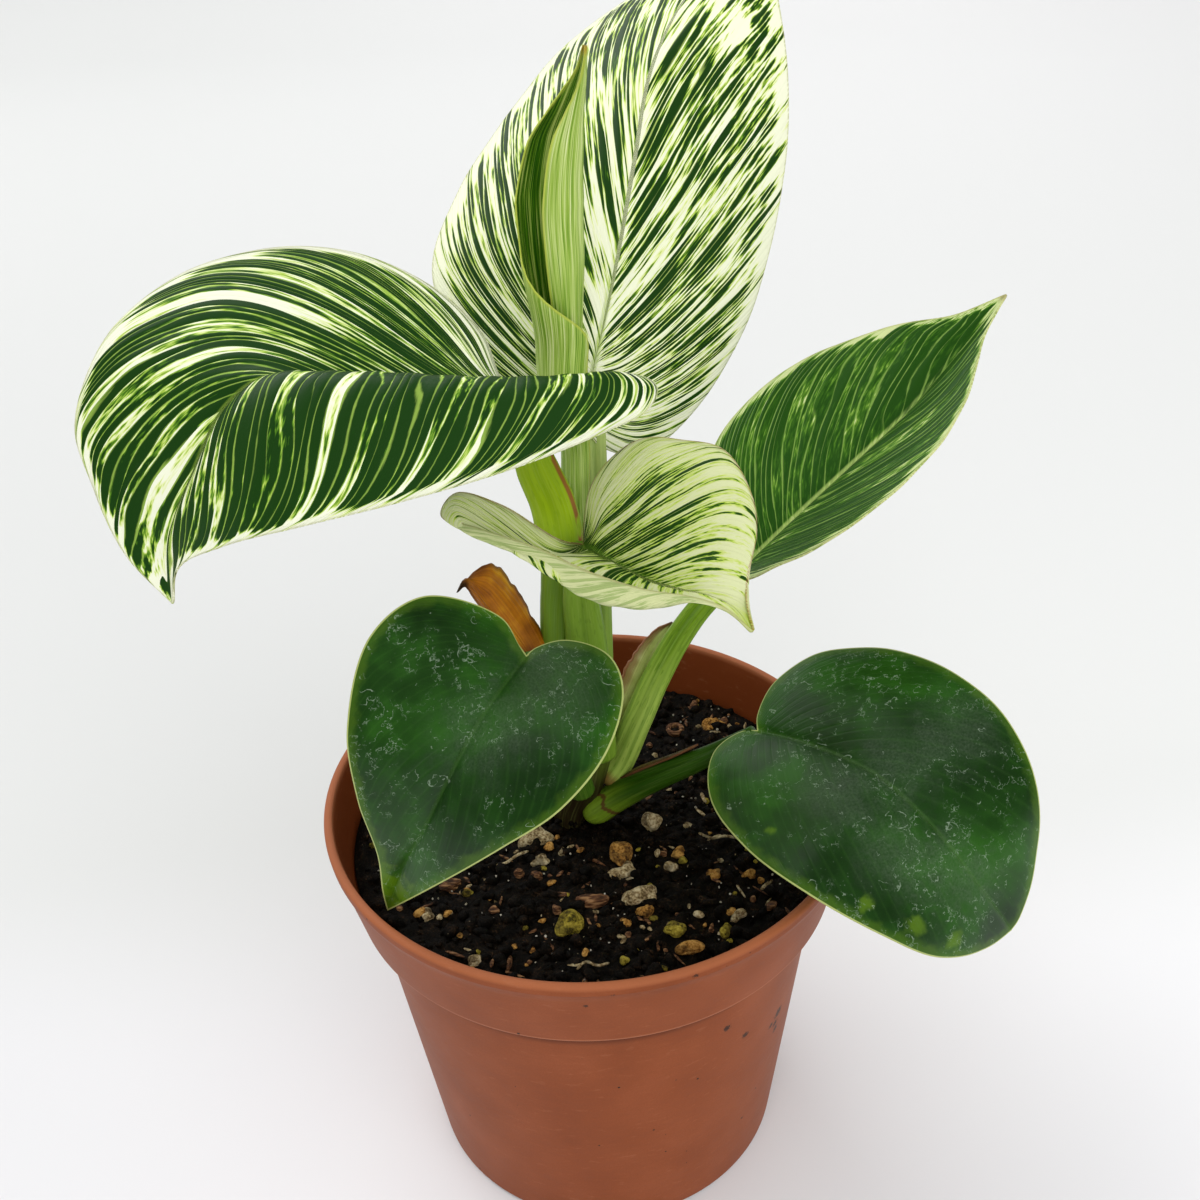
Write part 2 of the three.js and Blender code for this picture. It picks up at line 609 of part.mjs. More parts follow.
addPiece("upper_leaf", leafSolid(leaves.upper), "#dfe6bd", 0.4);
addPiece("left_leaf", leafSolid(leaves.left), "#4d6f3a", 0.3);
addPiece("middle_leaf", leafSolid(leaves.middle), "#b9c77a", 0.45);
addPiece("right_leaf", leafSolid(leaves.right), "#2f5a1f", 0.35);
addPiece("front_left_leaf", leafSolid(leaves.frontLeft), "#24481c", 0.3);
addPiece("front_right_leaf", leafSolid(leaves.frontRight), "#2c5220", 0.35);
addPiece("rolled_leaf", cutBack(rolledLeafSolid(), leftRoom, upperRoom), "#a8c06a", 0.4);

addPiece("dried_sheath",
  cutBack(leafSolid(sheaths.dried), stemRoom, leftRoom, grown(stalks.frontLeftPetiole)), "#a35c17", 0.6);
addPiece("right_leaf_sheath",
  cutBack(leafSolid(sheaths.right), stemRoom, rightRoom, upperRoom), "#b39b5f", 0.7);
addPiece("front_right_leaf_sheath",
  cutBack(leafSolid(sheaths.frontRight), stemRoom, grown(stalks.frontRightPetiole), rightRoom), "#7b5a3a", 0.7);

export default plant;
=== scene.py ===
"""A potted philodendron birkin: fine surfaces, finishes, stage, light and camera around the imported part.

Shapes are worked out in millimetres, in the part's own frame (+Z up, the plant's front is -Y), and
become metres when a piece is made.
"""
import math

import bmesh
import bpy
import numpy as np
from mathutils import Matrix, Vector


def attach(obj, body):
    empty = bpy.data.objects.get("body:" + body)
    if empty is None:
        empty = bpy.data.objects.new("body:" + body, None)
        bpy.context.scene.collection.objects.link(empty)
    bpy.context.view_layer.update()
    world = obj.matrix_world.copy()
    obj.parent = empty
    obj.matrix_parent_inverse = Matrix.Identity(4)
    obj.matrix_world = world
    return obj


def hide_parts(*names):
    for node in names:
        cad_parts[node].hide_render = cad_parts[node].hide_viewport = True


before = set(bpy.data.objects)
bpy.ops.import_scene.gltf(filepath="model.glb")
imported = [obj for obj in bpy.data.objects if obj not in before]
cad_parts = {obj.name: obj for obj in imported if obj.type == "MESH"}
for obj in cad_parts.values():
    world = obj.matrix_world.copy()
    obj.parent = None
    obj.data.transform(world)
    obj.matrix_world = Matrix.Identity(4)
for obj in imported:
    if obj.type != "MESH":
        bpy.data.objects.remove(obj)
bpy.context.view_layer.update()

MM = 0.001
WELD = 1e-4  # points closer than this, in millimetres, become one

# ---------------------------------------------------------------- sizes, as in the part's source

POT_HEIGHT = 100
RIM_RADIUS = 60
RIM_LIP = 2
BAND_DEPTH = 21.5
BAND_FOOT_RADIUS = 55.5
BODY_TOP_RADIUS = 51.9
FOOT_RADIUS = 42.7
FOOT_ROUNDING = 1.5
POT_WALL = 1.4
DRAIN_HOLES = 6
DRAIN_HOLE_RADIUS = 4
DRAIN_CIRCLE_RADIUS = 33
NOTCH_WIDTH = 15
NOTCH_LENGTH = 9
NOTCH_HEIGHT = 1.6  # of its cutter, which reaches as far below the pot's underside as above it
FIRST_DRAIN_ANGLE = -65
BAND_FOOT = POT_HEIGHT - BAND_DEPTH
BAND_INSIDE = BAND_FOOT + 4  # the height from which the wall's inside follows the band

GAP = 0.3  # between pieces that touch
SOIL_LEVEL = 88
SOIL_ROUGHNESS = 1.1
LOBE_EASE = 1.35  # above 1, a leaf's first rows start closer together on its midrib

# Each leaf is a net between its midrib and its two margins. Every line starts where the petiole
# joins and ends at the tip, and the margins run round the basal lobes on their way. A half bulges
# up by `bulge`, a share of the leaf's width there, or follows a `middle` line where it is rolled.
# `sweep` and `fan` say how the side veins of the left and the right half run: see vein_map.
LEAVES = {
    "upper": {
        "midrib": [(5.5, 16, 194.5), (11, 28, 212), (16, 42, 228.5), (21, 57.5, 242.5), (30.5, 74.5, 253),
                   (44, 90.5, 260)],
        "left": [(1.5, 12, 187), (-8, 12, 187), (-19, 16, 198), (-25.5, 28.5, 212), (-19.5, 47.5, 223),
                 (-7, 68.5, 234), (6, 83.5, 243), (27, 92, 253)],
        "right": [(4, 11.5, 183), (13.5, 15.5, 175.5), (26, 27, 178), (40.5, 40.5, 195), (48, 49, 221.5),
                  (49.5, 55.5, 237.5), (49, 68, 251.5), (48, 80, 258)],
        "bulge": 0.025, "sweep": (0.9, 0.9), "fan": (0.64, 0.64),
    },
    "left": {
        "midrib": [(-10, 0, 197.5), (-22, 0, 199), (-35, 0, 200.5), (-46, -1, 203.5), (-55.5, -2, 205.5),
                   (-64, -4, 200.5), (-70.5, -8, 190.5), (-77, -11, 178.5), (-79, -14, 164.5)],
        "left_middle": [(-5, -3, 201.5), (5, -7, 204.5), (3, -8.5, 205.5), (-12, -9.5, 206),
                        (-30, -10, 207), (-48.5, -11, 205), (-60, -13, 197), (-69.5, -14, 185.5),
                        (-76.5, -14, 173.5)],
        "left": [(-1, -4, 201.5), (13.5, -9, 205), (16.5, -12, 203.8), (14.5, -15.5, 201.3), (7, -18, 198.8),
                 (-10, -22, 194.5), (-31, -25, 190.5), (-50, -25, 186.5), (-65, -20, 180.5),
                 (-76, -15, 173)],
        "right_middle": [(-13.5, 2, 199.5), (-24, 11, 204.5), (-37, 13, 210), (-50, 13, 212.5),
                         (-63, 10, 212.5), (-74.5, 3, 206), (-80.5, -3, 193.5), (-82, -8, 180)],
        "right": [(-12.5, 4, 200), (-16, 12, 206.5), (-28.5, 24, 213.5), (-43.5, 28, 218.5), (-59, 26, 220),
                  (-73.5, 20, 218), (-87, 10, 210.5), (-94, 1, 196.5), (-92, -4, 186.5), (-87, -10, 174)],
        "sweep": (0.52, 0.5), "fan": (0.38, 0.5),
    },
    "middle": {
        "midrib": [(1.5, -8, 169), (7, -14, 168.5), (13, -20, 168), (19, -25, 168.5), (24.5, -29, 169),
                   (29, -31, 167), (32, -32, 162.5)],
        "left_middle": [(3, -8, 172), (6, -7, 176), (13, -11, 178), (20, -16, 178), (25.5, -20, 177),
                        (28, -25, 174), (30.5, -29, 170)],
        "left": [(2, -6, 173.5), (3.5, -3, 178.5), (7, 0, 182.5), (13.5, 2, 186), (22.5, -1, 187),
                 (29.5, -6, 187), (33.5, -14, 182.5), (34, -21, 177), (31.5, -27, 172), (31, -31, 168)],
        "right_middle": [(-3, -12, 168), (-12.5, -11, 171.5), (-16.5, -14, 175), (-7, -20, 173),
                         (2, -25, 167.5), (11.5, -30, 168), (20.5, -32, 170), (26.5, -33, 168.5)],
        "right": [(-3, -10, 171.5), (-14, -8, 179), (-22.5, -7, 181.5), (-25.5, -10, 178.5),
                  (-18, -14, 177.5), (-6.5, -18, 174.5), (1.5, -23, 172.5), (11.5, -28, 171),
                  (20.5, -31, 170.5), (26.5, -33, 169)],
        "sweep": (0.6, 0.6), "fan": (0.5, 0.5),
    },
    "right": {
        "midrib": [(36.5, 14, 147.5), (48.5, 19, 156.5), (60.5, 23.5, 165.5), (72.5, 27, 175.5),
                   (83, 30.5, 186.5), (93, 33, 199)],
        "left": [(32, 19.5, 149.5), (29.5, 29, 156), (33, 38.5, 165.5), (48, 45, 178), (69.5, 41.5, 189),
                 (83.5, 35.5, 194)],
        "right": [(35.5, 9, 147.5), (40, -0.5, 155.5), (54, -6.5, 168), (69, -0.5, 177.5), (80, 10, 186),
                  (87, 25.5, 192.5)],
        "bulge": 0.011, "sweep": (0.6, 0.6), "fan": (0.44, 0.44),
    },
    "front_left": {
        "midrib": [(-11, -18, 150), (-19.5, -27.5, 144), (-27, -34, 134), (-33.5, -36.5, 122),
                   (-39.5, -34.5, 109), (-44, -31.5, 96)],
        "left": [(-9, -17, 151), (-3, -17, 152.5), (5, -22, 152), (7.5, -29.5, 149), (3.5, -41, 143),
                 (-5.5, -47.5, 135.5), (-17.5, -47, 126), (-34.5, -40, 109)],
        "right": [(-12.5, -17, 152), (-15.5, -14.5, 157), (-30, -15, 163.5), (-40.5, -22, 159.5),
                  (-46, -31.5, 144.5), (-45.5, -35, 130), (-43.5, -35, 115), (-44, -33, 102.5)],
        "bulge": 0.022, "sweep": (0.8, 0.8), "fan": (0.5, 0.5),
    },
    "front_right": {
        "midrib": [(36.5, -10, 121), (47, -20, 124), (58, -30.5, 124), (67.5, -40.5, 118.5),
                   (76, -46, 107.5), (84, -46.5, 94.5)],
        "left": [(37, -6.5, 122.5), (41.5, -0.5, 126.5), (51, 2, 131.5), (65.5, -3.5, 135.5),
                 (77.5, -13, 135), (86, -23.5, 130), (90, -33.5, 120.5), (89.5, -39.5, 107), (86, -45, 97)],
        "right": [(33, -9, 120), (27, -12, 117.5), (25, -23, 114.5), (30.5, -37.5, 113.5), (41, -51, 113),
                  (54.5, -56, 106), (66.5, -56, 98.5), (77.5, -51, 94.5)],
        "bulge": 0.022, "sweep": (0.8, 0.8), "fan": (0.5, 0.5),
    },
}

# A stalk follows `path`; `widths` and `depths` are its full sizes at even steps along it, and
# `facing` is the side that its flatter, grooved face looks to.
STALKS = {
    "stem": {
        "path": [(-5, 3, 76), (-5, 3, 90), (-2, 1.5, 101), (0, 0.5, 112)],
        "facing": (0, -1, 0), "widths": [8, 8, 11, 12], "depths": [8, 8, 10, 10],
    },
    "middle": {
        "path": [(2, -1, 108), (1.2, -1.5, 125), (1, -2.5, 142), (0.4, -5, 156), (1.2, -8, 168.3)],
        "facing": (0, -1, 0.2), "widths": [9, 10, 9, 7.5, 4.5], "depths": [6, 6.5, 6, 5, 3.6],
    },
    "left": {
        "path": [(-3.5, 1, 108), (-5.4, 1, 135), (-4.6, 0.5, 150), (-3, -0.5, 163), (-4, -1, 174),
                 (-6.8, -0.5, 183), (-9.6, 0, 196.8)],
        "facing": (0, -1, 0.2), "widths": [7, 7, 6.5, 7, 9.5, 8.5, 4.5],
        "depths": [6, 6, 5.5, 4.5, 4, 4, 3.6],
    },
    "upper": {
        "path": [(3, 5, 108), (3.6, 6, 135), (4.4, 9, 160), (5, 12.5, 178), (5.5, 15.6, 193.6)],
        "facing": (0, -1, 0.3), "widths": [6, 6.5, 6, 5, 4.5], "depths": [5, 5, 4.5, 4, 3.6],
    },
    "right": {
        "path": [(3, 2, 99), (6.7, 3.5, 103), (11.5, 5, 114), (15.9, 7.5, 123), (21.8, 10, 133),
                 (27.6, 12, 140), (36, 13.8, 146.6)],
        "facing": (-0.4, -0.5, 0.8), "widths": [7, 7.2, 7, 6.5, 6, 5.5, 4.4],
        "depths": [5.5, 5.5, 5.2, 5, 4.6, 4.2, 3.6],
    },
    "front_left": {
        "path": [(-1.5, -3, 100), (-4.5, -7.5, 118), (-8, -13, 136), (-10.8, -17.6, 149)],
        "facing": (0, -0.6, 0.8), "widths": [6, 5, 4.4, 3.8], "depths": [5, 4.4, 4, 3.4],
    },
    "front_right": {
        "path": [(-1.5, -0.8, 91.3), (6.8, -1.5, 98), (15.8, -4, 105), (25.6, -7, 112), (35.8, -9.6, 120.2)],
        "facing": (-0.4, -0.3, 0.8), "widths": [7.5, 7.2, 6, 4.6, 3.2], "depths": [6.5, 6, 5, 4.2, 3],
    },
}

# The rolled new leaf: its axis with the roll's outer radius, and the angles, in degrees from +X
# towards +Y, where the sheet's two margins stand at shares of the roll's height.
ROLL_RINGS = [
    (0.4, 4.5, 128, 1.7), (0.4, 4.5, 157, 2.6), (0.4, 4.5, 172, 3), (1, 4.8, 185.4, 3), (0, 5, 192, 3.9),
    (-0.8, 5.4, 200, 5.2), (-0.4, 5.8, 208.5, 5.6), (-0.6, 6.5, 219.5, 6.2), (-0.6, 8, 233, 6.7),
    (1, 9.5, 243, 5.4), (3, 10.5, 248.6, 3.3), (5.4, 11.5, 254.8, 1.3), (6.4, 12, 258.8, 0.6),
]
ROLL_OUTER_MARGIN = [(0, 340), (0.58, 340), (0.74, 180), (0.88, 170), (1, 100)]
ROLL_INNER_MARGIN = [(0, -20), (0.35, -20), (0.58, -112), (0.88, -112), (1, -60)]
ROLL_INWARD_PER_TURN = 0.36  # share of its radius that the sheet moves inwards in one turn

# The papery sheaths, as nets like the leaves'.
SHEATHS = {
    "dried": {
        "midrib": [(-6, -3, 122), (-11.5, -4, 139), (-16.5, -5, 149.5), (-20, -5, 157), (-22.5, -5, 160.5),
                   (-24.5, -6, 158)],
        "left": [(-8.5, -2, 122), (-14, -2, 139.5), (-18, -3, 148), (-21.5, -3.5, 155.5),
                 (-23, -4.5, 158.5)],
        "right": [(-3, 0, 122), (-8.5, 0, 143), (-11.5, 1, 150.5), (-15.5, 1, 158), (-18.5, -1, 161.5)],
        "bulge": 0.1,
    },
    "right": {
        "midrib": [(4.5, 6.5, 99), (8, 7.5, 110), (12, 10, 120), (16, 13, 128), (20.5, 15, 133.2)],
        "left": [(2.5, 5.5, 100), (3.6, 6.6, 108), (7, 9, 119.6), (12, 12, 128), (16.5, 14.5, 131.5)],
        "right": [(8, 8, 100), (12, 9, 109), (16, 11.5, 118), (20, 14, 127), (21, 15, 131.5)],
        "bulge": -0.1,
    },
    "front_right": {
        "midrib": [(7, -0.4, 101.9), (9.4, -0.8, 104), (14.3, -2.3, 107.6), (20.6, -4.3, 112),
                   (24.2, -5.4, 114.4)],
        "left": [(9.5, -2.2, 104.6), (14.4, -3.7, 108.2), (20.7, -5.6, 112.5)],
        "right": [(9.8, 0.8, 102.1), (14.6, -0.8, 105.7), (20.9, -3, 110.3)],
        "bulge": 0.07,
    },
}

# ---------------------------------------------------------------- lines and grids


def unit(vectors):
    """Vectors at length 1, with nothing divided by zero."""
    lengths = np.linalg.norm(vectors, axis=-1, keepdims=True)
    return vectors / np.maximum(lengths, 1e-12)


def smooth(value, start, end):
    """0 before start, 1 after end and an eased step between them."""
    share = np.clip((value - start) / (end - start), 0, 1)
    return share * share * (3 - 2 * share)


class Line:
    """A smooth line through a few points, read by share of its length (centripetal Catmull-Rom)."""

    SAMPLES = 600
    TANGENT_STEP = 0.004

    def __init__(self, points):
        points = np.array(points, float)
        padded = np.vstack([2 * points[0] - points[1], points, 2 * points[-1] - points[-2]])
        place = np.linspace(0, len(points) - 1, self.SAMPLES + 1)
        index = np.minimum(place.astype(int), len(points) - 2)
        share = (place - index)[:, None]
        before, start, end, after = (padded[index + step] for step in range(4))
        gaps = [np.sqrt(np.linalg.norm(b - a, axis=1, keepdims=True))
                for a, b in ((before, start), (start, end), (end, after))]
        leave = self.slope(before, start, end, gaps[0], gaps[1]) * gaps[1]
        arrive = self.slope(start, end, after, gaps[1], gaps[2]) * gaps[1]
        cube = 2 * start - 2 * end + leave + arrive
        square = -3 * start + 3 * end - 2 * leave - arrive
        self.path = start + leave * share + square * share**2 + cube * share**3
        steps = np.linalg.norm(np.diff(self.path, axis=0), axis=1)
        self.reach = np.concatenate([[0], np.cumsum(steps)])
        self.length = self.reach[-1]
        self.places = place / (len(points) - 1)

    @staticmethod
    def slope(a, b, c, first, second):
        """The slope at b between its neighbours, whose distances along the line are first and second."""
        return (b - a) / first - (c - a) / (first + second) + (c - b) / second

    def at(self, share):
        target = np.asarray(share) * self.length
        return np.stack([np.interp(target, self.reach, self.path[:, axis]) for axis in range(3)], -1)

    def spaced(self, count):
        """Points at even steps along the line."""
        return self.at(np.linspace(0, 1, count))

    def tangent(self, share):
        ahead, behind = share + self.TANGENT_STEP, share - self.TANGENT_STEP
        return unit(self.at(np.minimum(ahead, 1)) - self.at(np.maximum(behind, 0)))

    def place(self, share):
        """Where that share of the length lies, as a share of the points' count."""
        return np.interp(np.asarray(share) * self.length, self.reach, self.places)


def spread(values, share):
    """Value at `share` of a list of numbers spread evenly from 0 to 1."""
    return np.interp(share, np.linspace(0, 1, len(values)), values)


def eased(steps, share):
    """Value at `share` of a list of (share, value) steps, eased between them."""
    result = np.full_like(share, steps[0][1], dtype=float)
    for (start, low), (end, high) in zip(steps, steps[1:]):
        result += (high - low) * smooth(share, start, end)
    return result


def bend(start, middle, end, share):
    """The parabola that starts at start, is at middle halfway and ends at end."""
    rest = 1 - share
    return rest * (1 - 2 * share) * start + 4 * share * rest * middle + share * (2 * share - 1) * end


def distance_to(points, line):
    """Distance of each grid point to a line given by points along it."""
    flat = points.reshape(-1, 3)
    nearest = np.full(len(flat), np.inf)
    for start, step in zip(line, np.diff(line, axis=0)):
        share = np.clip((flat - start) @ step / max(step @ step, 1e-12), 0, 1)
        off = flat - start - share[:, None] * step
        nearest = np.minimum(nearest, np.einsum("ij,ij->i", off, off))
    return np.sqrt(nearest).reshape(points.shape[:-1])


def grid_normals(points):
    """The normals of a grid of points, with the rows that shrink to one point given one normal."""
    down, across = np.gradient(points, axis=0), np.gradient(points, axis=1)
    normals = unit(np.cross(across, down))
    for row, beside in ((0, 1), (-1, -2)):
        if np.ptp(points[row], axis=0).max() < WELD:
            normals[row] = unit(normals[beside].mean(axis=0))
    return normals


class Shape:
    """A mesh in the making: grids of points in millimetres, welded where they meet."""

    def __init__(self):
        self.points = []
        self.corners = []
        self.skins = []
        self.maps = {}
        self.count = 0

    def grid(self, points, maps=None, skin=0, flip=False):
        """Adds a grid of points. Each of `maps` gives two values at every point, for the finish to read."""
        rows, columns = points.shape[:2]
        index = np.arange(rows * columns).reshape(rows, columns)
        quads = np.stack([index[:-1, :-1], index[:-1, 1:], index[1:, 1:], index[1:, :-1]], -1).reshape(-1, 4)
        if flip:
            quads = quads[:, ::-1]
        self.add(points.reshape(-1, 3), quads, skin)
        for name, values in (maps or {}).items():
            flat = np.stack(np.broadcast_arrays(*values), -1).reshape(-1, 2)
            self.maps.setdefault(name, []).append((len(self.corners) - 1, flat[quads]))

    def rim(self, layers, maps, end, axis=1):
        """Closes layered grids along their first (0) or last (-1) column, or along that row if axis is 0."""
        strip = np.concatenate([np.take(layer, [end], axis) for layer in layers], axis)
        strip_maps = {name: [np.repeat(np.take(value, [end], axis), len(layers), axis)
                             for value in np.broadcast_arrays(*values)] for name, values in maps.items()}
        self.grid(strip, strip_maps, flip=end == 0)

    def sheet(self, layers, maps, skins=(0, 0)):
        """Adds a thin sheet: the first and last of its layers as faces, and a rim down each side."""
        self.grid(layers[0], maps, skins[0])
        self.grid(layers[-1], maps, skins[1], flip=True)
        for end in (0, -1):
            self.rim(layers, maps, end)

    def add(self, points, faces, skin=0):
        """Adds loose points and the faces between them."""
        self.points.append(points)
        self.corners.append(np.asarray(faces) + self.count)
        self.skins.append(skin)
        self.count += len(points)

    def mesh(self, name):
        """The welded mesh, with its maps, smooth faces and no face that welding shrank to a line."""
        points = np.concatenate(self.points)
        keys = np.round(points / WELD).astype(np.int64)
        _, first, welded = np.unique(keys, axis=0, return_index=True, return_inverse=True)
        welded = welded.reshape(-1)
        faces, skins, kept = [], [], []
        for group, (corners, skin) in enumerate(zip(self.corners, self.skins)):
            for number, face in enumerate(welded[corners].tolist()):
                distinct = [i for i, corner in enumerate(face) if corner != face[i - 1]]
                if len({face[i] for i in distinct}) < 3:
                    continue
                faces.append([face[i] for i in distinct])
                skins.append(skin)
                kept.append((group, number, distinct))
        mesh = bpy.data.meshes.new(name)
        mesh.from_pydata(points[first] * MM, [], faces)
        mesh.polygons.foreach_set("material_index", skins)
        mesh.shade_smooth()
        for map_name, groups in self.maps.items():
            values = dict(groups)
            layer = mesh.uv_layers.new(name=map_name)
            rows = [values[group][number][i] if group in values else (0, 0)
                    for group, number, distinct in kept for i in distinct]
            layer.uv.foreach_set("vector", np.array(rows, np.float32).ravel())
        return mesh

    def piece(self, name, slot, nodes, *paints):
        """Adds the shape as a piece of the object."""
        add_piece(name, self.mesh(name), slot, nodes, *paints)


def add_piece(name, mesh, slot, nodes, *paints):
    """Adds a mesh as a piece of the object, which rides on the body and stands for `nodes`."""
    for paint in paints:
        mesh.materials.append(paint)
    piece = bpy.data.objects.new("fine_" + name, mesh)
    bpy.context.scene.collection.objects.link(piece)
    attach(piece, "root")
    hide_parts(*nodes)


# ---------------------------------------------------------------- finishes


def rgb(*levels):
    """A colour given by red, green and blue from 0 to 255, as Blender's linear one."""
    shares = [level / 255 for level in levels]
    return tuple(share / 12.92 if share <= 0.04045 else ((share + 0.055) / 1.055) ** 2.4
                 for share in shares) + (1.0,)


class Field:
    """A number or vector that varies over a surface: a node's output, with arithmetic."""

    def __init__(self, paint, socket):
        self.paint = paint
        self.socket = socket

    def __add__(self, other):
        return self.paint.math("ADD", self, other)

    def __sub__(self, other):
        return self.paint.math("SUBTRACT", self, other)

    def __rsub__(self, other):
        return self.paint.math("SUBTRACT", other, self)

    def __mul__(self, other):
        return self.paint.math("MULTIPLY", self, other)

    def __truediv__(self, other):
        return self.paint.math("DIVIDE", self, other)

    __radd__ = __add__
    __rmul__ = __mul__


class Paint:
    """One procedural material in the making."""

    MIX_COLOURS = (6, 7)  # the places of a Mix node's two colours among its inputs
    MIX_RESULT = 2

    def __init__(self, name):
        self.material = bpy.data.materials.new(name)
        self.material.use_nodes = True
        self.tree = self.material.node_tree
        self.surface = self.tree.nodes["Principled BSDF"]

    def node(self, kind, **settings):
        node = self.tree.nodes.new("ShaderNode" + kind)
        for key, value in settings.items():
            setattr(node, key, value)
        return node

    def put(self, socket, value):
        if isinstance(value, Field):
            self.tree.links.new(value.socket, socket)
        else:
            socket.default_value = value

    def math(self, operation, *values, clamp=False):
        node = self.node("Math", operation=operation, use_clamp=clamp)
        for socket, value in zip(node.inputs, values):
            self.put(socket, value)
        return Field(self, node.outputs[0])

    def above(self, value, start, end):
        """0 where value is at start and before, 1 at end and beyond, eased between them."""
        node = self.node("MapRange", interpolation_type="SMOOTHSTEP")
        self.put(node.inputs["Value"], value)
        low, high = (start, end) if start < end else (end, start)
        node.inputs["From Min"].default_value = low
        node.inputs["From Max"].default_value = high
        node.inputs["To Min"].default_value = 0 if start < end else 1
        node.inputs["To Max"].default_value = 1 if start < end else 0
        return Field(self, node.outputs["Result"])

    def map(self, name):
        """The two values of one of the mesh's maps."""
        node = self.node("UVMap", uv_map=name)
        split = self.node("SeparateXYZ")
        self.tree.links.new(node.outputs["UV"], split.inputs[0])
        return Field(self, split.outputs["X"]), Field(self, split.outputs["Y"])

    def place(self):
        """The three coordinates of the surface, in millimetres."""
        node = self.node("TexCoord")
        scaled = self.node("VectorMath", operation="SCALE")
        self.tree.links.new(node.outputs["Object"], scaled.inputs[0])
        scaled.inputs["Scale"].default_value = 1 / MM
        return Field(self, scaled.outputs["Vector"])

    def parts(self, vector):
        """A vector's three numbers."""
        split = self.node("SeparateXYZ")
        self.put(split.inputs[0], vector)
        return [Field(self, split.outputs[axis]) for axis in "XYZ"]

    def vector(self, x, y, z=0.0):
        node = self.node("CombineXYZ")
        for socket, value in zip(node.inputs, (x, y, z)):
            self.put(socket, value)
        return Field(self, node.outputs[0])

    def noise(self, vector, scale=1.0, detail=2.0, roughness=0.5):
        node = self.node("TexNoise", noise_dimensions="3D")
        self.put(node.inputs["Vector"], vector)
        node.inputs["Scale"].default_value = scale
        node.inputs["Detail"].default_value = detail
        node.inputs["Roughness"].default_value = roughness
        return Field(self, node.outputs[0])

    def strands(self, across, along, seed, detail=1.0):
        """Noise drawn out into strands, by coordinates already scaled to its grain."""
        return self.noise(self.vector(across, along, seed), 1.0, detail)

    def cells(self, vector, scale):
        """Uneven cells: how far the nearest one's middle is, and three random numbers of its own."""
        node = self.node("TexVoronoi")
        self.put(node.inputs["Vector"], vector)
        node.inputs["Scale"].default_value = scale
        return Field(self, node.outputs["Distance"]), self.parts(Field(self, node.outputs["Color"]))

    def ramp(self, value, stops):
        """A colour from a number, by (number, colour) stops."""
        node = self.node("ValToRGB")
        elements = node.color_ramp.elements
        while len(elements) < len(stops):
            elements.new(0.5)
        for element, (position, colour) in zip(elements, stops):
            element.position = position
            element.color = colour
        self.put(node.inputs["Fac"], value)
        return Field(self, node.outputs["Color"])

    def mix(self, share, *colours):
        """The first of two colours where share is 0, and the second where it is 1."""
        node = self.node("Mix", data_type="RGBA")
        self.put(node.inputs["Factor"], share)
        for place, colour in zip(self.MIX_COLOURS, colours):
            self.put(node.inputs[place], colour)
        return Field(self, node.outputs[self.MIX_RESULT])

    def finish(self, colour, roughness, relief=None, depth=0.1, **fixed):
        """Sets the shader. `relief` is a height from 0 to 1, `depth` its full height in millimetres."""
        self.put(self.surface.inputs["Base Color"], colour)
        self.put(self.surface.inputs["Roughness"], roughness)
        for key, value in fixed.items():
            self.surface.inputs[key.replace("_", " ")].default_value = value
        if relief is not None:
            bump = self.node("Bump")
            bump.inputs["Distance"].default_value = depth * MM
            self.put(bump.inputs["Height"], relief)
            self.tree.links.new(bump.outputs["Normal"], self.surface.inputs["Normal"])
        return self.material


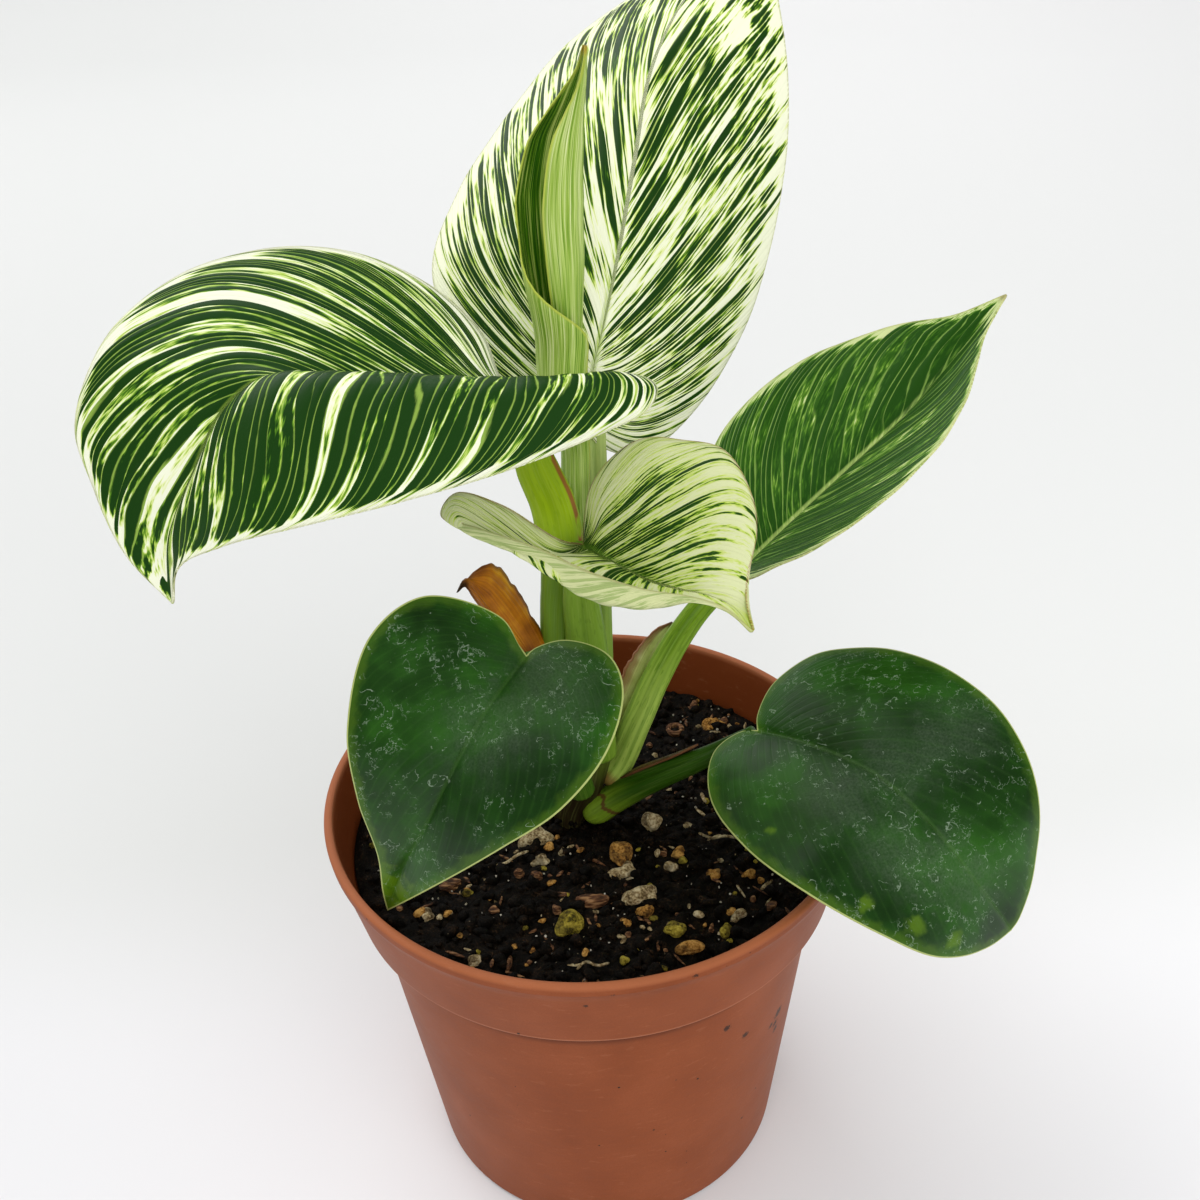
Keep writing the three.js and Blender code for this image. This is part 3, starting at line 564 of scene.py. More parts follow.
# How each striped leaf is drawn. A half is split into `lanes` between its side veins, counted over the
# whole margin, which wander by `drift` lanes. A lane's tone is a sum of three noises, with `weights`:
# one that changes by `bundle` from lane to lane and by `run` from midrib to margin, one of its own that
# changes by `own_run`, and one for the ragged ends, with `grain`. `stops` turn the tone into a colour.
# `shift` makes all of it darker, `darkens` the tip, and `taper` makes a lane's sides paler. `margin` and
# `rib` are the pale bands, full up to the first millimetre figure and gone at the second, and
# `margin_pull` and `rib_pull` how much paler they are. `hair` is how strongly the veins show in
# `hair_colour` between dark lanes. `spine` is the midrib's line: its colour, its width in millimetres,
# the shares of the leaf's length where it is gone and where it is full, and its strength. `tip` gives
# the shares of the length where the tip's colour starts and is full, and `heart` the size and the
# strength of the dark spot where the petiole joins.
STRIPES = {
    "upper": {
        "lanes": 92, "drift": 3.4, "bundle": 0.62, "run": 2.4, "own_run": 4.6, "grain": 17,
        "weights": (0.32, 0.44, 0.24), "shift": 0.03, "taper": 0.1,
        "margin": (1.2, 3.8), "margin_pull": 0.09, "rib": (0.4, 3.6), "rib_pull": 0.035, "hair": 0.5,
        "stops": [(0.448, rgb(243, 246, 216)), (0.476, rgb(226, 236, 152)), (0.492, rgb(170, 200, 64)),
                  (0.508, rgb(84, 134, 24)), (0.526, rgb(24, 62, 8))],
        "hair_colour": rgb(204, 224, 124), "spine": (rgb(150, 180, 60), 0.45, (0.5, 0.1), 0.5),
        "edge_colour": rgb(176, 180, 112),
    },
    "left": {
        "lanes": 70, "drift": 3.0, "bundle": 0.95, "run": 0.5, "own_run": 1.2, "grain": 13,
        "weights": (0.36, 0.46, 0.18), "shift": 0.07, "taper": 0.06,
        "margin": (0.6, 2.0), "margin_pull": 0.12, "rib": (0.3, 2.0), "rib_pull": 0.0, "hair": 0.7,
        "stops": [(0.45, rgb(243, 246, 220)), (0.476, rgb(228, 238, 168)), (0.494, rgb(174, 204, 76)),
                  (0.51, rgb(82, 132, 24)), (0.53, rgb(22, 62, 8))],
        "hair_colour": rgb(160, 194, 80), "spine": (rgb(150, 184, 60), 0.5, (0.95, 0.6), 0.5),
        "edge_colour": rgb(190, 192, 140),
    },
    "middle": {
        "lanes": 88, "drift": 2.4, "bundle": 0.7, "run": 1.2, "own_run": 2.2, "grain": 17,
        "weights": (0.34, 0.44, 0.22), "shift": 0.012, "taper": 0.09,
        "margin": (2.4, 8.0), "margin_pull": 0.07, "rib": (0.5, 3.0), "rib_pull": -0.02, "hair": 0.35,
        "heart": (8.0, 0.14),
        "stops": [(0.405, rgb(216, 222, 170)), (0.455, rgb(202, 216, 122)), (0.486, rgb(176, 202, 70)),
                  (0.499, rgb(118, 156, 32)), (0.511, rgb(62, 106, 16)), (0.53, rgb(28, 66, 8))],
        "hair_colour": rgb(206, 220, 130), "spine": (rgb(90, 130, 30), 0.5, (0.7, 0.3), 0.5),
        "edge_colour": rgb(150, 84, 60), "tip": (0.84, 0.97, rgb(176, 200, 48)),
    },
    "right": {
        "lanes": 46, "drift": 2.8, "bundle": 0.8, "run": 0.9, "own_run": 2.0, "grain": 14,
        "weights": (0.3, 0.36, 0.34), "shift": 0.068, "taper": 0.025, "darkens": 0.05,
        "margin": (0.5, 1.9), "margin_pull": 0.16, "rib": (0.2, 1.2), "rib_pull": 0.09, "hair": 0.6,
        "stops": [(0.43, rgb(214, 226, 160)), (0.462, rgb(150, 186, 80)), (0.49, rgb(92, 140, 36)),
                  (0.52, rgb(58, 106, 20)), (0.58, rgb(34, 80, 8))],
        "hair_colour": rgb(158, 196, 92), "spine": (rgb(176, 200, 110), 0.5, (0.9, 0.5), 0.7),
        "edge_colour": rgb(190, 186, 120), "tip": (0.975, 0.995, rgb(120, 84, 44)),
    },
}


def lanes(paint, vein, share, count, seed, drift=1.0):
    """Splits a half into lanes between side veins: each lane's number, and 0 to 1 from its middle out."""
    wander = paint.strands(vein * (count * 0.35), share * 1.7, seed) - 0.5
    place = vein * count + wander * drift
    number = paint.math("FLOOR", place)
    side = paint.math("ABSOLUTE", place - number - 0.5) * 2
    return number, side


def striped_tone(paint, look, seed, heart):
    """How dark each point of a striped face is, with what its hairlines need: see STRIPES."""
    vein, share = paint.map("veins")
    edge, rib = paint.map("reach")
    along, _ = paint.map("blade")
    number, side = lanes(paint, vein, share, look["lanes"], seed, look["drift"])
    bundle = paint.strands(number * look["bundle"], share * look["run"], seed + 1)
    own = paint.strands(number * 7.3, share * look["own_run"], seed + 2)
    ragged = paint.strands(vein * (look["lanes"] * 3.4), share * look["grain"], seed + 3, detail=2)
    together, alone, ends = look["weights"]
    dark = together * bundle + alone * own + ends * ragged - look["taper"] * side * side + look["shift"]
    if "darkens" in look:
        dark = dark + along * look["darkens"]
    pale_margin = paint.above(edge + 3.0 * (bundle - 0.5), look["margin"][1], look["margin"][0])
    pale_rib = paint.above(rib, look["rib"][1], look["rib"][0])
    dark = dark - pale_margin * look["margin_pull"] - pale_rib * look["rib_pull"]
    if heart:
        radius, push = look["heart"]
        dark = dark + push * spots_at(paint, paint.place(), [(heart, radius)], ragged)
    return dark, ragged, number, side, share, along, edge, rib


def striped_face(name, look, seed, heart=None):
    """The upper face of a leaf with pale and dark green stripes along its side veins."""
    paint = Paint(name)
    dark, ragged, number, side, share, along, edge, rib = striped_tone(paint, look, seed, heart)
    colour = paint.ramp(dark, look["stops"])
    own_hair = paint.strands(number * 3.7, share * 2.2, seed + 5)
    hair = paint.above(side + 0.7 * (own_hair - 0.5) + 0.4 * (ragged - 0.5), 0.76, 1.0)
    hair = hair * paint.above(own_hair, 0.28, 0.52) * paint.above(dark, 0.47, 0.51)
    colour = paint.mix(hair * look["hair"], colour, look["hair_colour"])
    spine_colour, width, (gone, full), strength = look["spine"]
    spine = paint.above(rib, width * 2, width) * paint.above(along + 0.5 * (ragged - 0.5), gone, full)
    colour = paint.mix(spine * strength, colour, spine_colour)
    if "tip" in look:
        start, end, tip_colour = look["tip"]
        colour = paint.mix(paint.above(along, start, end) * 0.6, colour, tip_colour)
    line = paint.above(edge, 0.3, 0.12) * paint.above(ragged, 0.35, 0.55)
    colour = paint.mix(line * 0.6, colour, look["edge_colour"])
    relief = 0.75 - 0.6 * side * side + 0.25 * ragged
    gloss = 0.34 + 0.16 * ragged
    return paint.finish(colour, gloss, relief, 0.12, Specular_IOR_Level=0.22)


def spots_at(paint, place, spots, ragged, unevenness=1.6, core=0.2):
    """1 at each of `spots`, given as (centre, radius) in millimetres, fading out raggedly round it.

    `unevenness` is how far its edge wanders, in radii, and `core` the share of its radius that is full.
    """
    result = 0.0
    for centre, radius in spots:
        measure = paint.node("VectorMath", operation="DISTANCE")
        paint.put(measure.inputs[0], place)
        measure.inputs[1].default_value = centre
        distance = Field(paint, measure.outputs["Value"]) + radius * unevenness * (ragged - 0.5)
        result = result + paint.above(distance, radius, radius * core)
    return paint.math("MINIMUM", result, 1.0)


def green_face(name, seed, yellow, painted_sheens):
    """The upper face of an old green leaf: glossy, with dried water marks, patches of painted sheen and
    yellow spots.
    """
    paint = Paint(name)
    vein, share = paint.map("veins")
    edge, rib = paint.map("reach")
    place = paint.place()
    broad = paint.noise(place, 0.05, 3)
    mottle = paint.noise(place, 0.3, 3, 0.5)
    _, side = lanes(paint, vein, share, 30, seed)
    colour = paint.ramp(0.8 * broad + 0.2 * mottle, [
        (0.38, rgb(14, 46, 4)), (0.5, rgb(22, 62, 5)), (0.62, rgb(34, 84, 8))])
    between_veins = paint.above(side + 0.5 * (mottle - 0.5), 0.6, 1.05)
    colour = paint.mix(between_veins * 0.07, colour, rgb(70, 120, 40))
    colour = paint.mix(spots_at(paint, place, yellow, mottle, 2.6) * 0.45, colour, rgb(104, 142, 6))
    inner_band = paint.above(edge + 4 * (mottle - 0.5), 2.6, 0.4)
    colour = paint.mix(inner_band * 0.3, colour, rgb(96, 136, 20))
    colour = paint.mix(paint.above(rib, 0.8, 0.2) * 0.16, colour, rgb(84, 128, 48))
    # painted sheen: broad greyish patches where light would be reflected
    painted_sheen = spots_at(paint, place, painted_sheens, mottle, 0.9, 0.0)
    texture = paint.noise(place, 2.2, 3, 0.5)
    colour = paint.mix(painted_sheen * paint.above(texture, 0.0, 1.0) * 0.26, colour, rgb(118, 138, 112))
    dust = dust_marks(paint, place)
    colour = paint.mix(dust * 0.5, colour, rgb(184, 204, 180))
    colour = paint.mix(paint.above(edge, 0.3, 0.16) * 0.85, colour, rgb(186, 196, 118))
    gloss = 0.3 + 0.15 * mottle + 0.1 * painted_sheen + 0.25 * dust
    relief = 0.5 + 0.3 * mottle - 0.12 * between_veins
    return paint.finish(colour, gloss, relief, 0.2, Specular_IOR_Level=0.3)


def dust_marks(paint, place):
    """Dried water marks: droplets' outlines, thin broken squiggles and specks of dust."""
    warp = paint.noise(place, 0.3, 3)
    moved = paint.node("VectorMath", operation="ADD")
    paint.put(moved.inputs[0], place)
    paint.put(moved.inputs[1], paint.vector(warp * 9, warp * -7, warp * 6))
    warped = Field(paint, moved.outputs["Vector"])
    rim, (chosen, size, _) = paint.cells(warped, 0.17)
    ring = paint.above(paint.math("ABSOLUTE", rim - 0.14 - 0.22 * size), 0.022, 0.005)
    ring = ring * paint.above(chosen, 0.55, 0.65)
    fine, (chosen, size, _) = paint.cells(warped, 0.42)
    drop = paint.above(paint.math("ABSOLUTE", fine - 0.12 - 0.25 * size), 0.035, 0.01)
    drop = drop * paint.above(chosen, 0.86, 0.92)
    contour = paint.noise(place, 0.3, 4, 0.62)
    squiggle = paint.above(paint.math("ABSOLUTE", contour - 0.5), 0.011, 0.003)
    patchy = paint.above(paint.noise(place, 0.1, 2), 0.46, 0.58)
    broken = paint.above(paint.noise(place, 0.7, 2), 0.42, 0.58)
    speck, (chosen, *_) = paint.cells(place, 1.2)
    specks = paint.above(speck, 0.18, 0.08) * paint.above(chosen, 0.82, 0.88)
    lines = paint.math("MAXIMUM", ring * broken, paint.math("MAXIMUM", drop, squiggle * patchy) * broken)
    return paint.math("MAXIMUM", lines * 0.7, specks * (0.2 + 0.4 * patchy), clamp=True)


def leaf_underside(name, ground, veins, seed):
    """The paler, duller lower face of a leaf, with its side veins showing."""
    paint = Paint(name)
    vein, share = paint.map("veins")
    edge, rib = paint.map("reach")
    number, side = lanes(paint, vein, share, 90, seed, 1.4)
    together = paint.strands(number * 0.7, share * 1.8, seed + 1)
    own = paint.strands(number * 5.1, share * 4.0, seed + 2)
    ragged = paint.strands(vein * 260, share * 16, seed + 3)
    stripes = 0.45 * together + 0.35 * own + 0.2 * ragged - 0.04 * side
    colour = paint.ramp(stripes, [(0.48, ground), (0.53, veins)])
    colour = paint.mix(paint.above(rib, 1.6, 0.5) * 0.8, colour, rgb(176, 196, 112))
    colour = paint.mix(paint.above(edge, 0.5, 0.2) * 0.7, colour, rgb(196, 198, 132))
    relief = 0.3 + 0.6 * side * side
    return paint.finish(colour, 0.5, relief, 0.12, Specular_IOR_Level=0.2)


def stalk_skin(name, foot, top, deep, seed, change=(25, 60), streaks=0.3, blush=None, ring=None, scar=None):
    """A petiole's skin: a colour that changes along it, with faint streaks and darker dashes.

    The colour goes from `foot` to `top` between the two lengths of `change`, in millimetres along it.
    `blush` is a browned line's place round the stalk and its width, `ring` the length in millimetres
    up to which the skin is browned, and `scar` how far along a brown line goes round it.
    """
    paint = Paint(name)
    turn, along = paint.map("skin")
    broad = paint.strands(turn * 18, along * 0.03, seed)
    fine = paint.strands(turn * 90, along * 0.08, seed + 4, detail=2)
    dashes = paint.strands(turn * 52, along * 0.3, seed + 9, detail=1)
    colour = paint.mix(paint.above(along + 14 * (broad - 0.5), *change), foot, top)
    colour = paint.mix(paint.above(broad, 0.4, 0.66) * streaks, colour, deep)
    colour = paint.mix(paint.above(fine, 0.45, 0.75) * streaks * 0.35, colour, rgb(200, 214, 120))
    colour = paint.mix(paint.above(dashes, 0.6, 0.68) * streaks * 0.9, colour, deep)
    if blush:
        centre, width = blush
        line = paint.above(paint.math("ABSOLUTE", turn - centre), width, width * 0.4)
        worn = paint.above(paint.strands(turn * 8, along * 0.25, seed + 2), 0.32, 0.46)
        colour = paint.mix(line * worn * 0.85, colour, rgb(146, 70, 40))
    if ring:
        base = paint.above(along + 3 * (fine - 0.5), ring, ring * 0.4)
        colour = paint.mix(base * 0.8, colour, rgb(110, 62, 34))
    if scar:
        line = paint.above(paint.math("ABSOLUTE", along - scar + 5 * (broad - 0.5)), 0.9, 0.3)
        colour = paint.mix(line * 0.85, colour, rgb(84, 48, 26))
    return paint.finish(colour, 0.4 + 0.12 * fine, 0.6 * broad + 0.4 * fine, 0.16, Specular_IOR_Level=0.22)


def new_leaf_skin(name, stops):
    """One side of the rolled leaf: lengthwise streaks, a yellow margin and a browned tip."""
    paint = Paint(name)
    across, along = paint.map("roll")
    bundles = paint.strands(across * 12, along * 0.018, 3.0)
    strands = paint.strands(across * 46, along * 0.05, 8.0)
    fine = paint.strands(across * 140, along * 0.12, 5.0)
    tone = 0.35 * bundles + 0.4 * strands + 0.25 * fine
    colour = paint.ramp(tone, stops)
    edge, height = paint.map("reach")
    colour = paint.mix(paint.above(edge, 0.8, 0.3) * 0.8, colour, rgb(184, 196, 76))
    colour = paint.mix(paint.above(height, *ROLL_BROWN_TIP) * 0.6, colour, rgb(186, 140, 40))
    return paint.finish(colour, 0.42, tone, 0.3, Specular_IOR_Level=0.22)


def papery_skin(name, stops, seed, torn_colour, tip=None, stained=None):
    """A dry papery sheath: lengthwise fibres, dark torn edges and, past `tip` of its length, a dark end.

    `stained` gives the shares across, from -1 to 1, where the torn colour starts and where it is full.
    """
    paint = Paint(name)
    vein, share = paint.map("veins")
    edge, _ = paint.map("reach")
    fibres = paint.strands(share * 18, vein * 2.0, seed, detail=2)
    fine = paint.strands(share * 70, vein * 6.0, seed + 2)
    broad = paint.noise(paint.place(), 0.16, 2)
    colour = paint.ramp(0.22 * fibres + 0.1 * fine + 0.68 * broad, stops)
    torn = paint.above(edge + 0.9 * (fine - 0.5), 0.95, 0.25)
    colour = paint.mix(torn * 0.75, colour, torn_colour)
    if stained:
        stain = paint.above(share + 0.8 * (broad - 0.5) + 0.3 * (fibres - 0.5), *stained)
        colour = paint.mix(stain * 0.7, colour, torn_colour)
    if tip:
        colour = paint.mix(paint.above(vein + 0.1 * (fine - 0.5), tip, tip + 0.07), colour, rgb(58, 36, 18))
    return paint.finish(colour, 0.5, fibres, 0.3, Specular_IOR_Level=0.4)


BAND_FLARE = 0.22  # how much wider the band gets for each millimetre up
BAND_WALL_MIDDLE = 36.7  # a radius within the band's wall, less the height there times that flare
# Bits of soil stuck to the pot's outside: (centre, radius), in millimetres.
POT_DIRT = [
    ((40, -28.1, 52.9), 1.8), ((39.4, -28.4, 49.5), 1.2), ((39.6, -27.5, 46.8), 1.2),
    ((38.3, -30.4, 51), 1.0), ((26.5, -42.9, 66.1), 1.1), ((31.1, -38.5, 58.3), 1.1),
    ((2, -59.4, 97.2), 0.7), ((-3.3, -58.5, 93.3), 0.6), ((18.5, -56.7, 98.5), 0.7),
    ((31.6, -32.3, 21.4), 0.5),
]


def pot_plastic():
    """Moulded terracotta-coloured plastic: faint scuffs and specks of soil, with painted light: a painted
    highlight along the rim's lip and the band's foot, and painted shade under the band and on the inside of
    the wall.
    """
    paint = Paint("pot_plastic")
    place = paint.place()
    x, y, z = paint.parts(place)
    grain = paint.noise(place, 3.0, 2)
    broad = paint.noise(place, 0.06, 3)
    scuffs = paint.noise(paint.vector(x * 0.25, y * 0.25, z * 0.8), 1.0, 3, 0.6)
    colour = paint.ramp(0.25 * grain + 0.2 * scuffs + 0.55 * broad, [
        (0.35, rgb(129, 64, 30)), (0.5, rgb(138, 70, 34)), (0.65, rgb(148, 78, 43))])
    reach = paint.math("SQRT", x * x + y * y)
    # painted shade: the inside of the wall above the band's foot is darkened, as shade falls inside the pot
    inside = paint.above(reach - z * BAND_FLARE, BAND_WALL_MIDDLE + 0.2, BAND_WALL_MIDDLE - 0.2)
    inside = inside * paint.above(z, BAND_FOOT + 0.5, BAND_FOOT + 3.5)
    colour = paint.mix(inside * 0.6, colour, rgb(96, 40, 12))
    # painted highlight: a paler line along the rim's lip
    rim = paint.above(z, POT_HEIGHT - 1.4, POT_HEIGHT - 0.2)
    colour = paint.mix(rim * 0.5, colour, rgb(186, 116, 80))
    # painted shadow: a dark line on the body under the band's overhang
    shade = paint.above(z, BAND_FOOT - 6, BAND_FOOT - 3.6) * paint.above(z, BAND_FOOT + 0.4, BAND_FOOT)
    colour = paint.mix(shade * 0.7, colour, rgb(80, 34, 14))
    # painted highlight: a paler line along the band's foot
    band_foot_highlight = paint.above(z, BAND_FOOT + 1.6, BAND_FOOT + 0.8) * paint.above(z, BAND_FOOT, BAND_FOOT + 0.4)
    colour = paint.mix(band_foot_highlight * 0.5, colour, rgb(196, 128, 92))
    colour = paint.mix(paint.above(scuffs, 0.6, 0.72) * 0.12, colour, rgb(176, 126, 100))
    colour = paint.mix(spots_at(paint, place, POT_DIRT, grain, 2.4, 0.6) * 0.9, colour, rgb(40, 24, 16))
    spots, (chosen, _, size) = paint.cells(place, 0.4)
    specks = paint.above(spots - 0.1 * size, 0.06, 0.02) * paint.above(chosen, 0.93, 0.95)
    colour = paint.mix(specks, colour, rgb(34, 22, 16))
    relief = 0.5 * grain + 0.5 * scuffs
    return paint.finish(colour, 0.4 + 0.16 * scuffs, relief, 0.03, Specular_IOR_Level=0.13)


def peat():
    """Near-black damp peat with brown fibres and pale specks."""
    paint = Paint("peat")
    place = paint.place()
    clods = paint.noise(place, 0.35, 4, 0.6)
    grit = paint.noise(place, 2.2, 3, 0.6)
    colour = paint.ramp(0.5 * clods + 0.5 * grit, [
        (0.38, rgb(4, 3, 2)), (0.5, rgb(12, 9, 6)), (0.6, rgb(30, 21, 13)), (0.7, rgb(76, 55, 36))])
    spots, (chosen, *_) = paint.cells(place, 1.1)
    specks = paint.above(spots, 0.18, 0.08) * paint.above(chosen, 0.94, 0.96)
    colour = paint.mix(specks * 0.6, colour, rgb(150, 136, 108))
    return paint.finish(colour, 0.7 + 0.2 * grit, 0.5 * clods + 0.5 * grit, 0.7, Specular_IOR_Level=0.12)


def grain_stone(name, pale, mid, dark):
    """A pitted grain of pumice, dirtied by the peat."""
    paint = Paint(name)
    place = paint.place()
    mottle = paint.noise(place, 0.5, 3, 0.6)
    pits = paint.noise(place, 1.8, 3, 0.65)
    colour = paint.ramp(0.5 * mottle + 0.5 * pits, [(0.4, dark), (0.48, mid), (0.58, pale)])
    grime = paint.above(paint.noise(place, 0.35, 2), 0.5, 0.62)
    colour = paint.mix(grime * 0.55, colour, rgb(40, 30, 18))
    return paint.finish(colour, 0.8, 0.3 * mottle + 0.7 * pits, 1.2, Specular_IOR_Level=0.15)


def bark():
    """A flake of bark with lengthwise fibres."""
    paint = Paint("bark")
    place = paint.place()
    x, y, z = paint.parts(place)
    fibres = paint.noise(paint.vector(x * 0.4, y * 1.6, z * 2.5), 1.0, 3)
    colour = paint.ramp(fibres, [(0.35, rgb(44, 26, 14)), (0.5, rgb(92, 58, 34)), (0.66, rgb(150, 112, 74))])
    return paint.finish(colour, 0.75, fibres, 0.6, Specular_IOR_Level=0.3)


# ---------------------------------------------------------------- leaves

BLADE_ROWS = 190
BLADE_COLUMNS = 32
BLADE_BODY = 0.62  # thickness beside the midrib
BLADE_EDGE = 0.34  # thickness at the margin
EDGE_ROUNDING = 0.35  # how far the margin is rounded out, as a share of its thickness
GROOVE = 0.3  # depth of the midrib's groove in the upper face
RIDGE = 1.1  # height of the midrib's ridge under the leaf
SIDE_VEINS = 19  # raised side veins over a whole margin
LINE_STEPS = 220  # points on a margin or a midrib that distances are measured to
OTHER_HALF = 10.0  # added to the right half's vein numbers, so that the halves' stripes differ


def column_shares(columns):
    """Shares across a half, closer together beside the midrib and at the margin."""
    even = np.linspace(0, 1, columns + 1)
    return 0.6 * even**1.4 + 0.4 * np.sin(even * math.pi / 2)


def blade_net(leaf, rows, columns):
    """A leaf's middle surface: its points, their shares along and across, its midrib and its margins.

    The shares along run from 0 to 1, and those across from -1 at the left margin to 1 at the right one.
    """
    spine = Line(leaf["midrib"])
    t = np.linspace(0, 1, rows + 1)[:, None]
    foot = spine.at(t[:, 0] ** LOBE_EASE)
    start, end = leaf["midrib"][0], leaf["midrib"][-1]
    margins = [Line([start, *leaf[side], end]) for side in ("left", "right")]
    edges = [margin.at(t[:, 0]) for margin in margins]
    rise = np.cross(edges[1] - edges[0], spine.tangent(t[:, 0] ** LOBE_EASE)) * leaf.get("bulge", 0)
    share = column_shares(columns)
    halves = []
    for side, edge in zip(("left", "right"), edges):
        if side + "_middle" in leaf:
            belly = Line([start, *leaf[side + "_middle"], end]).at(t[:, 0])
        else:
            belly = (foot + edge) / 2 + rise
        halves.append(bend(foot[:, None], belly[:, None], edge[:, None], share[None, :, None]))
    points = np.concatenate([halves[0][:, :0:-1], halves[1]], axis=1)
    across = np.concatenate([-share[:0:-1], share])[None, :]
    return points, t, across, spine, margins


def vein_map(t, across, sweep, fan):
    """The side vein through each point, numbered by where it ends on the margin, and the share across.

    With a `sweep` of 1 the veins run nearly straight, and below 1 they bend forwards near the margin.
    `fan` is the share of a margin whose veins all start at the petiole. Both are given for the left
    half and the right one.
    """
    sweep = np.where(across < 0, *sweep)
    fan = np.where(across < 0, *fan)
    share = np.abs(across)
    leaving = 1 - (1 - fan) * (1 - t) ** 2
    vein = t + (leaving - t) * (1 - share) ** sweep
    return vein + OTHER_HALF * (across > 0), share


def leaf_blade(key, slot, paints, ribbing, wave, seed):
    """One open leaf: a blade with a grooved midrib, faint side veins and a rounded, waved margin.

    `ribbing` is how high the side veins stand and `wave` how far the margin waves, in millimetres.
    """
    leaf = LEAVES[key]
    points, t, across, spine, margins = blade_net(leaf, BLADE_ROWS, BLADE_COLUMNS)
    normals = grid_normals(points)
    vein, share = vein_map(t, across, leaf["sweep"], leaf["fan"])
    edge = np.minimum(*[distance_to(points, margin.spaced(LINE_STEPS)) for margin in margins])
    rib = distance_to(points, spine.spaced(LINE_STEPS))
    draw = np.random.default_rng(seed)
    ripple = sum(draw.uniform(0.4, 1) * np.sin(t * turns * math.pi + np.sign(across) + draw.uniform(0, 6))
                 for turns in (7, 11, 17)) / 3
    fade = smooth(t, 0, 0.12) * smooth(t, 1, 0.9)
    points = points + normals * (wave * ripple * share**3 * fade)[..., None]
    quilt = np.cos((vein % OTHER_HALF) * SIDE_VEINS * 2 * math.pi)
    quilt = quilt * ribbing * smooth(edge, 0, 5) * smooth(rib, 0.5, 4)
    half = (BLADE_EDGE + (BLADE_BODY - BLADE_EDGE) * smooth(edge, 0, 4)) / 2
    rib_size = (1 - 0.75 * t) * smooth(t, 0, 0.04)
    groove = GROOVE * rib_size * np.exp(-((rib / 0.9) ** 2))
    ridge = RIDGE * rib_size * np.exp(-((rib / 1.1) ** 2))
    top = points + normals * (half + quilt - groove)[..., None]
    under = points + normals * (-half + quilt - ridge)[..., None]
    middle = points.copy()
    for column, beside in ((0, 1), (-1, -2)):
        outwards = unit(points[:, column] - points[:, beside]) * BLADE_EDGE * EDGE_ROUNDING
        middle[1:-1, column] += outwards[1:-1]
    maps = {"veins": (vein, share), "reach": (edge, rib), "blade": (t, share)}
    shape = Shape()
    shape.sheet([top, middle, under], maps, skins=(0, 1))
    shape.piece(key + "_leaf", slot, [key + "_leaf"], *paints)


# The marks on the old green leaves: yellow spots and patches of painted sheen, as (centre, radius) in
# millimetres.
GREEN_MARKS = {
    "front_left": {
        "yellow": [((-42, -33, 104), 8.0)],
        "painted_sheens": [((-7, -26, 149), 17.0), ((-20, -32, 141), 14.0)],
    },
    "front_right": {
        "yellow": [((62, -54, 106), 2.4), ((70, -54, 100), 2.8), ((52, -53, 111), 2.0),
                   ((36, -37, 117), 1.6)],
        "painted_sheens": [((50, -33, 122), 13.0), ((63, -29, 126), 13.0), ((76, -24, 129), 13.0),
                  ((58, -44, 117), 12.0), ((68, -45, 111), 14.0), ((76, -44, 107), 9.0)],
    },
}


def add_leaves():
    pale_under = leaf_underside("pale_underside", rgb(214, 222, 176), rgb(96, 132, 62), 2.0)
    lime_under = leaf_underside("lime_underside", rgb(212, 218, 160), rgb(168, 186, 116), 4.0)
    green_under = leaf_underside("green_underside", rgb(112, 142, 72), rgb(92, 122, 56), 6.0)
    striped_under = leaf_underside("striped_underside", rgb(150, 172, 112), rgb(86, 118, 56), 8.0)
    cream = striped_face("cream_leaf", STRIPES["upper"], 1.0)
    striped = striped_face("striped_leaf", STRIPES["left"], 31.0)
    lime = striped_face("lime_leaf", STRIPES["middle"], 61.0, heart=LEAVES["middle"]["midrib"][0])
    pinstriped = striped_face("pinstriped_leaf", STRIPES["right"], 91.0)
    left_green = green_face("front_left_green", 5.0, **GREEN_MARKS["front_left"])
    right_green = green_face("front_right_green", 7.0, **GREEN_MARKS["front_right"])
    leaf_blade("upper", "cream_leaf", (cream, pale_under), ribbing=0.1, wave=0.3, seed=1)
    leaf_blade("left", "striped_leaf", (striped, striped_under), ribbing=0.12, wave=0.2, seed=2)
    leaf_blade("middle", "lime_leaf", (lime, lime_under), ribbing=0.12, wave=0.25, seed=3)
    leaf_blade("right", "pinstriped_leaf", (pinstriped, green_under), ribbing=0.1, wave=0.25, seed=4)
    leaf_blade("front_left", "green_leaf", (left_green, green_under), ribbing=0.035, wave=0.2, seed=5)
    leaf_blade("front_right", "green_leaf", (right_green, green_under), ribbing=0.035, wave=0.2, seed=6)


# ---------------------------------------------------------------- stalks

STALK_SIDES = 56
STALK_STEPS = 110


